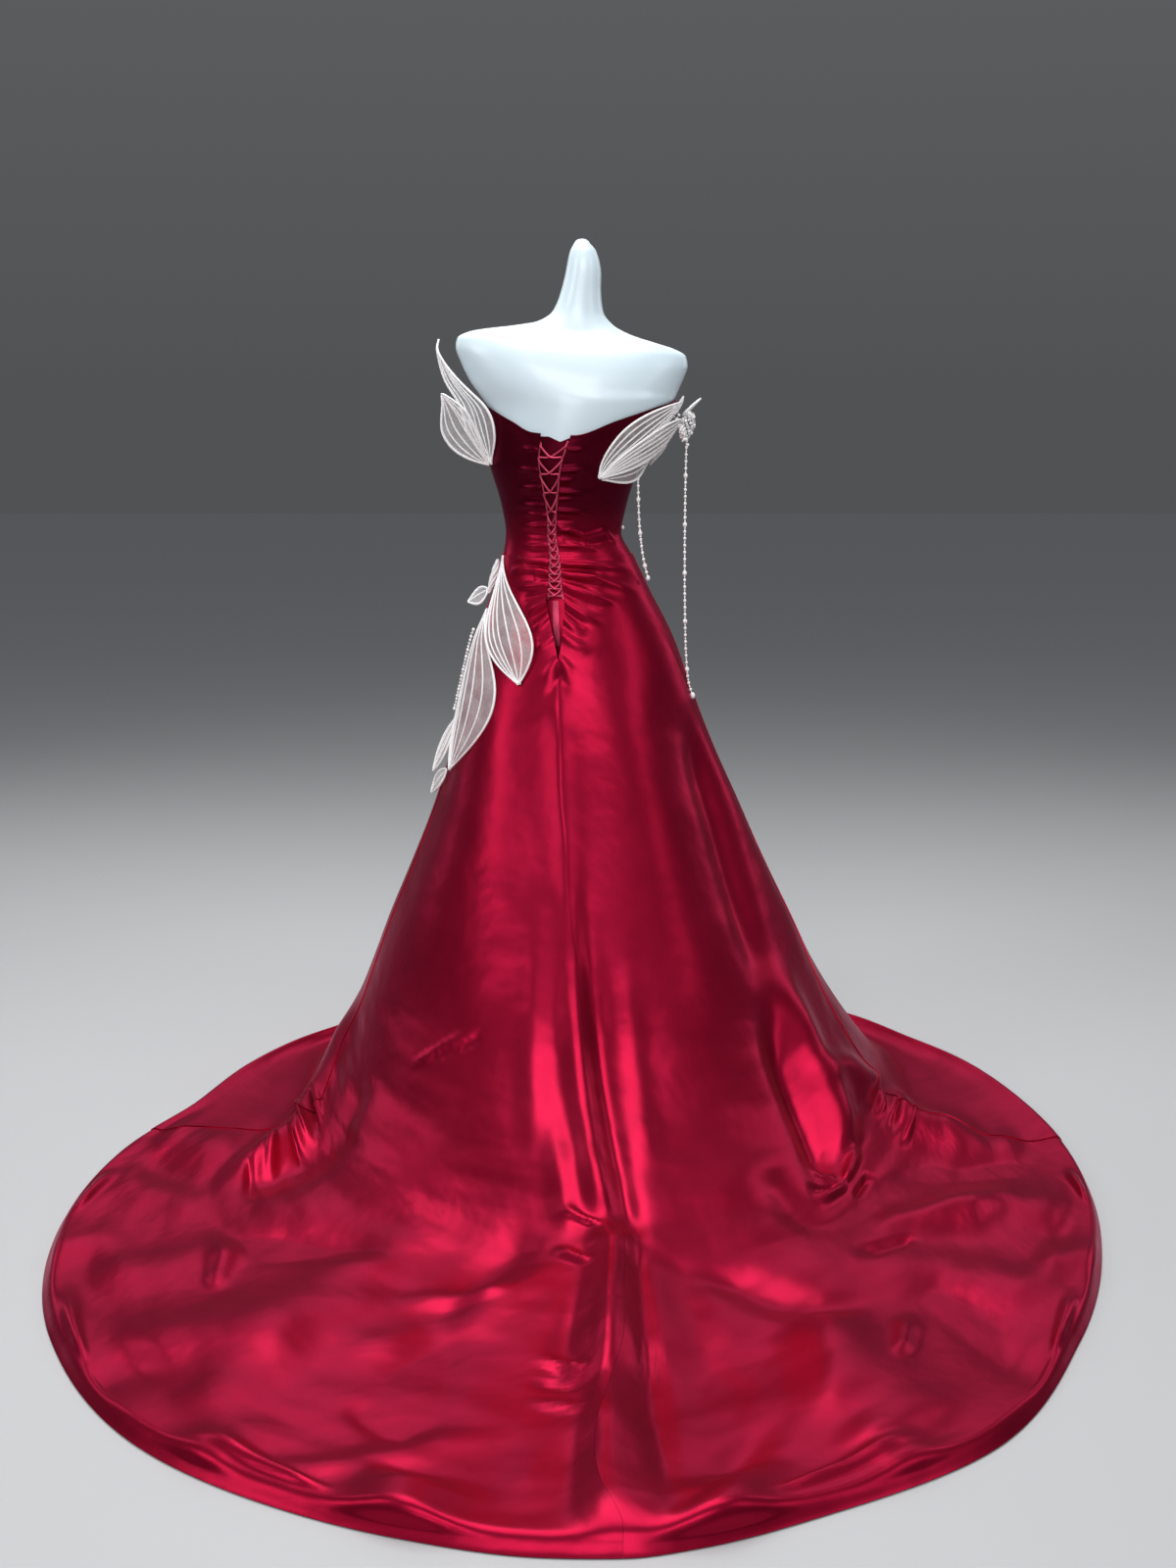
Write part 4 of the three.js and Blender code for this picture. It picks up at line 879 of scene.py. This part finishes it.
# %% Modesty panel
PANEL_TOP_Z, PANEL_DIP, PANEL_SLOPE, PANEL_RISE = 1231, 7, 1.1, 9.5
PANEL_BOTTOM_Z = SLIT_END_Z - 12
across = CENTRE_BACK + np.linspace(-20, 20, 40)[None, :]
up = np.linspace(0, 1, 90)[:, None]
panel_top = PANEL_TOP_Z + np.minimum(np.abs(across - PANEL_DIP) * PANEL_SLOPE, PANEL_RISE)
height = PANEL_BOTTOM_Z + (panel_top - PANEL_BOTTOM_Z) * up
crumple = 0.35 * np.sin(height / 7 + across / 3) * np.sin(height / 23)
panel_points = body_point(across, height, 0.8 + np.abs(crumple))
# The modesty panel uses the same satin, with the same painted shade towards its top.
panel = cloth("modesty_cloth", panel_points, (0.1, 1, 0), 0.8, satin_with_painted_shade, ["modesty_panel"])

# %% [markdown]
# ## Lacing
#
# Narrow loops of rolled satin are sewn along each edge, and a long cord of the same satin
# crosses between them from the top of the back to below the waist. Each run of the cord is a
# tube along a curve through its loops; the run that lies on top rises where the two cross. The
# crossings sit low between the loops, so they read as a row of V shapes, closer below the waist.

# %% Lacing
LACE_LEVELS = [1224, 1201, 1171, 1137, 1103, 1079, 1063, 1047, 1032, 1018, 1004, 991, 978, 965, 953]
LACE_RADIUS, LACE_OFF, LACE_RISE, LACE_CROSSING = 1.6, 6.6, 4.2, 0.86
TAPE_WIDTH, TAPE_GAP = 3, 0.8


def lace_point(side, z, rise):
    inset = opening_half(z) if side == 0 else TAPE_WIDTH / 2 + TAPE_GAP
    off = LACE_OFF + 3.4 * float(smoothstep((WAIST_Z + 20 - z) / 90))
    return body_point(opening_angle(z, side or 1, inset), z, off + rise)


def lace_run(name, node, first, over):
    places = []
    for i, z in enumerate(LACE_LEVELS):
        side = -first if i % 2 else first
        places.append(lace_point(side, z, 0))
        if i < len(LACE_LEVELS) - 1:
            drop = z - LACE_LEVELS[i + 1]
            places.append(lace_point(0, z - LACE_CROSSING * drop, over))
    bm = bmesh.new()
    tube(bm, through(places, 260), LACE_RADIUS * 1.25, sides=10)
    return add_piece(name, bm, cord_satin_painted_highlight, [node])


def loop_tape(name, node, side):
    bm = bmesh.new()
    z = np.linspace(946, LACE_LEVELS[0] + 8, 90)[:, None]
    inset = TAPE_GAP + TAPE_WIDTH * np.linspace(0, 1, 5)[None, :]
    place_grid(bm, body_point(opening_angle(z, side, inset), z, OFF_FORM + 1.2))
    bmesh.ops.solidify(bm, geom=bm.faces[:], thickness=-0.8 * MM)
    for level in LACE_LEVELS:
        turns = np.linspace(0, np.pi, 9)
        arc = [body_point(opening_angle(level, side, 2.2 + 3.2 * math.sin(t)), level + 4.6 * math.cos(t),
                          OFF_FORM + 2.4 + 1.2 * math.sin(t)) for t in turns]
        tube(bm, arc, 0.9, sides=6)
    return add_piece(name, bm, cord_satin_painted_highlight, [node])


# The cords and loops use the lighter satin, a painted highlight.
lace_run("lacing_first", "lace_one", 1, LACE_RISE)
lace_run("lacing_second", "lace_two", -1, 0)
loop_tape("loops_left", "loop_tape_left", 1)
loop_tape("loops_right", "loop_tape_right", -1)

# %% [markdown]
# ## Organza leaves
#
# Each leaf is a piece of sheer organza stretched on wires. White ribs run from its base to its
# edge, a bound edge closes it, and fine glitter lies on the mesh. The membrane is a grid between
# two bowed edges, thin enough to see through. The ribs and the edge are tubes on the same grid,
# so wire and cloth always meet.

# %% Organza
def organza_finish():
    paint, tree, shader = finish("sheer_organza", (0.90, 0.89, 0.90), 0.42, Sheen_Weight=0.5,
                                 Sheen_Roughness=0.3)
    where = place_in(tree, "UV")
    warp, weft = (add_node(tree, "ShaderNodeTexWave", Scale=300, bands_direction=axis) for axis in "XY")
    for threads in (warp, weft):
        tree.links.new(where, threads.inputs["Vector"])
    mesh = combine(tree, "MAXIMUM", warp.outputs["Fac"], weft.outputs["Fac"])
    specks = add_node(tree, "ShaderNodeTexVoronoi", Scale=330, Randomness=1.0)
    tree.links.new(where, specks.inputs["Vector"])
    glitter = ramp(tree, specks.outputs["Distance"], (0.06, 1.0), (0.10, 0.0))
    cloudy = ramp(tree, noise(tree, where, 26, 3), (0.35, 0.09), (0.75, 0.24))
    sheer = combine(tree, "MULTIPLY_ADD", mesh, 0.08, cloudy)
    tree.links.new(combine(tree, "MAXIMUM", sheer, glitter), shader.inputs["Alpha"])
    rough = ramp(tree, specks.outputs["Distance"], (0.12, 0.12), (0.2, 0.45))
    tree.links.new(rough, shader.inputs["Roughness"])
    bump(tree, shader, mesh, 0.2, 0.0002)
    return paint


def rib_finish():
    paint, tree, shader = finish("bound_rib", (0.93, 0.92, 0.92), 0.38, Sheen_Weight=0.4)
    place = place_in(tree, "Object")
    mottle(tree, shader, noise(tree, place, 120), (0.94, 0.93, 0.94), (0.99, 0.98, 0.98))
    wound = add_node(tree, "ShaderNodeTexWave", Scale=380, Distortion=2.0, bands_direction="Z")
    tree.links.new(place, wound.inputs["Vector"])
    bump(tree, shader, wound.outputs["Fac"], 0.35, 0.0004)
    return paint


organza = organza_finish()
rib_white = rib_finish()
print("organza and bound ribs")

# %% The leaves' sizes
# Each leaf has a name, its base and its tip, the outermost point of each edge, how far along it is
# widest, how full its root and its point are, how many ribs it has and how far its middle bows.
# A point is a height, an angle round the gown and how far it stands off the cloth.
LEAVES = [
    ("shoulder_leaf_tall", (1189, 73, 0.6), (1396, 99, 34), (1272, 88, 42), (1268, 62, 8),
     0.42, 1.0, 1.25, 4, 3),
    ("shoulder_leaf_round", (1188, 75, 4.9), (1312, 76, 74), (1234, 78, 82), (1275, 70, 44),
     0.6, 0.9, 0.6, 5, 6),
    ("shoulder_leaf_broad", (1165.4, -29, 0.4), (1300, -76, 12), (1262, -38, 6), (1220, -60, 12),
     0.55, 0.95, 0.8, 6, 4),
    ("shoulder_leaf_lower", (1166, -30, 6.2), (1266, -86, 27.5), (1256, -63, 21), (1208, -74, 24),
     0.7, 1.0, 0.55, 4, 4),
    ("shoulder_leaf_under", (1164, -31, 2.4), (1214, -84, 14), (1200, -58, 15), (1163, -70, 11),
     0.6, 1.0, 0.9, 3, 3),
    ("shoulder_leaf_behind", (1238, -98, 0.8), (1188, -97, 22), (1224, -97, 30), (1206, -108, 8),
     0.5, 0.8, 0.8, 2, 2),
    ("shoulder_spike_inner", (1280, -86, -0.2), (1319, -88, 8), (1284, -83, 4), (1284, -90, 8),
     0.2, 0.8, 1.2, 1, 0),
    ("shoulder_spike_outer", (1279, -90, 24), (1313, -91, 42), (1286, -86, 26), (1286, -94, 30),
     0.3, 0.8, 1.2, 1, 0),
    ("hip_leaf_large", (1020, 77, 0.7), (793, 30, 4), (892, 27, 7), (876, 60, 8),
     0.56, 1.15, 1.0, 5, 5),
    ("hip_leaf_small", (952, 90, 10.9), (916, 93, 38), (948, 96, 29), (924, 86, 16),
     0.5, 0.8, 1.15, 1, 2),
    ("hip_leaf_long", (920, 80, 1.3), (622, 72, 3), (770, 44, 5), (745, 87, 5),
     0.5, 0.95, 0.9, 6, 5),
    ("hip_leaf_low", (716, 96, 0.1), (596, 95, 22), (655, 99, 24), (640, 86, 8),
     0.55, 0.9, 0.8, 3, 4),
    ("hip_leaf_end", (618, 78, 1.4), (562, 88, 12), (586, 80, 4), (595, 89, 12),
     0.6, 0.8, 0.8, 1, 2),
]


def row_at(z):
    rows = np.linspace(0, FLOOR_ROW, 1701)
    return np.interp(-np.asarray(z, float), -smooth(SKIRT, "row", "z", rows), rows)


def over_gown(place):
    z, angle, lift = (place[..., k] for k in range(3))
    above = body_point(angle, np.maximum(z, WAIST_Z), OFF_FORM + WALL + lift)
    row = row_at(np.minimum(z, WAIST_Z))
    below = skirt_point(row, angle) + skirt_out(row, angle) * (WALL + lift)[..., None]
    return np.where((z >= WAIST_Z)[..., None], above, below)


def leaf_outline(share, widest, root, point):
    rising = np.sin(np.pi / 2 * np.clip(share / widest, 0, 1)) ** root
    falling = np.sin(np.pi / 2 * np.clip((1 - share) / (1 - widest), 0, 1)) ** point
    return np.maximum(rising * falling, 0.04)


def leaf_point(leaf, share, across):
    base, tip, one, two, widest, root, point, ribs, cup = leaf[1:]
    base, tip, one, two = (np.array(v, float) for v in (base, tip, one, two))
    share, across = np.broadcast_arrays(np.asarray(share, float), np.asarray(across, float))
    outline = leaf_outline(share, widest, root, point)
    edge = np.where((across < 0)[..., None], one, two) - (base + (tip - base) * widest)
    place = base + (tip - base) * share[..., None] + edge * (np.abs(across) * outline)[..., None]
    place[..., 2] += cup * outline * (1 - across * across)
    return over_gown(place)


def leaf_out(leaf, share, across):
    u, v = np.clip(share, 0.06, 0.94), np.clip(across, -0.95, 0.95)
    along = leaf_point(leaf, u + 0.04, v) - leaf_point(leaf, u - 0.04, v)
    over = leaf_point(leaf, u, v + 0.05) - leaf_point(leaf, u, v - 0.05)
    normal = unit(np.cross(along, over))
    middle = leaf_point(leaf, 0.5, 0.0)
    centre = unit(np.cross(leaf_point(leaf, 0.54, 0.0) - leaf_point(leaf, 0.46, 0.0),
                           leaf_point(leaf, 0.5, 0.05) - leaf_point(leaf, 0.5, -0.05)))
    return normal * (np.sign(centre @ (middle * [1, 1, 0])) or 1)


print(len(LEAVES), "leaves")

# %% Make the leaves
def make_leaf(leaf):
    name, ribs = leaf[0], leaf[8]
    share = np.linspace(0, 1, 41)[:, None]
    across = np.linspace(-1, 1, 8 * (ribs + 1) + 1)[None, :]
    out = leaf_out(leaf, share, across)
    puff = 0.5 * np.sin(np.pi * (ribs + 1) * (across + 1) / 1) ** 2 * np.ones_like(share)
    points = leaf_point(leaf, share, across) + out * (0.7 + puff)[..., None]
    outward_at = out[20, out.shape[1] // 2]
    membrane = cloth(name + "_mesh", points, outward_at, 0.25, organza, [name])
    bm = bmesh.new()
    u = np.linspace(0, 1, 60)
    for k, v in enumerate(np.linspace(-1, 1, ribs + 2)):
        edge = k in (0, ribs + 1)
        line = leaf_point(leaf, u, np.full(60, v)) + leaf_out(leaf, u, np.full(60, v)) * 1.1
        radius = (2.0 if edge else 1.25) * (0.75 + 0.5 * np.sin(np.pi * np.clip(u, 0.1, 0.9)))
        tube(bm, line, radius, sides=7)
    ribs_piece = add_piece(name + "_ribs", bm, rib_white, [name])


for leaf in LEAVES:
    make_leaf(leaf)

# %% [markdown]
# ## Jewels
#
# A bunch of clear stones and pearls is wired at the end of the right shoulder leaves, a short
# garland of the same runs down beside the hip leaves, and a twist of gathered organza hides the
# ends of the hip wires. Stones are small cut solids with flat faces, pearls are spheres. They are
# set in rings round a plain form, turned by the golden angle so that no two line up.

# %% Shoulder jewel
def stone(bm, place, radius, stretch=(1, 1, 1), turn=0.0):
    made = bmesh.ops.create_icosphere(bm, subdivisions=1, radius=radius * MM)
    bmesh.ops.scale(bm, verts=made["verts"], vec=stretch)
    bmesh.ops.rotate(bm, verts=made["verts"], cent=(0, 0, 0), matrix=Matrix.Rotation(turn, 3, "Z"))
    bmesh.ops.translate(bm, verts=made["verts"], vec=Vector(place) * MM)
    return made["verts"]


JEWEL_MIDDLE = (-202, 8, 1258)
JEWEL_TILT = math.radians(-14)
JEWEL_STONES = 74
GOLDEN_ANGLE = 2.39996
RING_MIDDLE = np.array([-214, 10, 1261])


def jewel_place(share, turn, off):
    height = 1 - 2 * share
    flat = math.sqrt(max(0, 1 - height * height))
    x, y, z = (13 + off) * flat * math.cos(turn), (11 + off) * flat * math.sin(turn), (27 + off) * height
    cos, sin = math.cos(JEWEL_TILT), math.sin(JEWEL_TILT)
    turned = np.array([x * cos + z * sin, y, z * cos - x * sin])
    return np.array(JEWEL_MIDDLE) + turned


stones, pearls = bmesh.new(), bmesh.new()
for k in range(JEWEL_STONES):
    share, turn = (k + 0.5) / JEWEL_STONES, GOLDEN_ANGLE * k
    size = 2.3 + 1.4 * (0.5 + 0.5 * math.sin(5.1 * k))
    place = jewel_place(share, turn, -1.6)
    if k % 3 == 0:
        bead(pearls, place, size)
    else:
        stone(stones, place, size, (1, 1, 1.1), 0.7 * k)
ring = [RING_MIDDLE + 6.4 * np.array([0.35 * math.cos(t), 0.94 * math.cos(t), math.sin(t)])
        for t in np.linspace(0, 2 * math.pi, 17)[:-1]]
for k, place in enumerate(ring):
    stone(stones, place, 1.7, (1, 1, 1), 0.4 * k)
stone(stones, RING_MIDDLE, 4.2, (0.7, 1, 1))
jewel_stones = add_piece("shoulder_stones", stones, crystal, ["shoulder_jewel"])
jewel_pearls = add_piece("shoulder_pearls", pearls, pearl, ["shoulder_jewel"])
for face in jewel_stones.data.polygons:
    face.use_smooth = False
sewn = bmesh.new()
for k in range(34):
    share, wave = k / 33, math.sin(2.7 * k)
    place = np.array([-177 - 22 * share + 4 * math.sin(1.3 * k), 26 - 10 * share + 2 * wave,
                      1286 - 56 * share + 6 * math.cos(3.9 * k)])
    bead(sewn, place, 2.3 + 0.8 * wave)
stone(sewn, body_point(-91, 1071, OFF_FORM + WALL + 2.6), 3.4, (1, 1, 1.2), 0.3)
add_piece("sewn_beads", sewn, pearl)

# %% Hip twist and garland
def make_twist():
    share = np.linspace(0, 1, 60)
    middle = over_gown(np.stack([1012 - 66 * share, 88 - share, np.full(60, 7.4)], axis=-1))
    turns = np.linspace(0, 2 * np.pi, 61)
    radius = 1.0 + 5.6 * np.sin(np.pi * np.clip(share, 0.02, 0.98)) ** 0.6
    swirl = turns[None, :] + 3.6 * share[:, None]
    ridge = 1 + 0.17 * np.cos(6 * swirl) + 0.08 * np.cos(11 * swirl + 9 * share[:, None])
    ring = np.stack([np.cos(turns), np.sin(turns), 0 * turns], axis=-1)
    bm = bmesh.new()
    roll_up(bm, middle[:, None] + ring[None] * (radius[:, None] * ridge)[..., None])
    return add_piece("hip_gathers", bm, rib_white, ["hip_twist"])


def make_garland():
    stones, pearls = bmesh.new(), bmesh.new()
    share = np.linspace(0, 1, 25)
    places = over_gown(np.stack([876 - 150 * share, 86 + 1.5 * share, 10.3 + 1.2 * share], axis=-1))
    tube(pearls, places, 0.5, sides=6)
    for k, place in enumerate(places):
        if k % 3 == 1:
            stone(stones, place, 3.1, (1, 1, 1.1), 0.6 * k)
        else:
            bead(pearls, place, 2.7 if k % 2 else 3.2)
    add_piece("garland_stones", stones, crystal, ["hip_garland"])
    add_piece("garland_pearls", pearls, pearl, ["hip_garland"])


make_twist()
make_garland()

# %% [markdown]
# ## Lace tail
#
# Below the last crossing the cord is tied off, and one short end of it hangs in the slit.

# %% Lace tail
def lace_tail():
    z = np.linspace(944, 862, 40)[:, None]
    angle = CENTRE_BACK + np.linspace(-2, 2.2, 9)[None, :]
    points = body_point(angle, z, 2.2 + 0.25 * np.cos(z / 6))
    # The tail uses the lighter cord satin, a painted highlight.
    piece = cloth("lace_end", points, (0.1, 1, 0), 0.9, cord_satin_painted_highlight, ["lace_tail"])
    return piece, points


tail, tail_points = lace_tail()
print("lace tail", round(float(area_of(tail_points)) * 1e4, 2), "cm2")
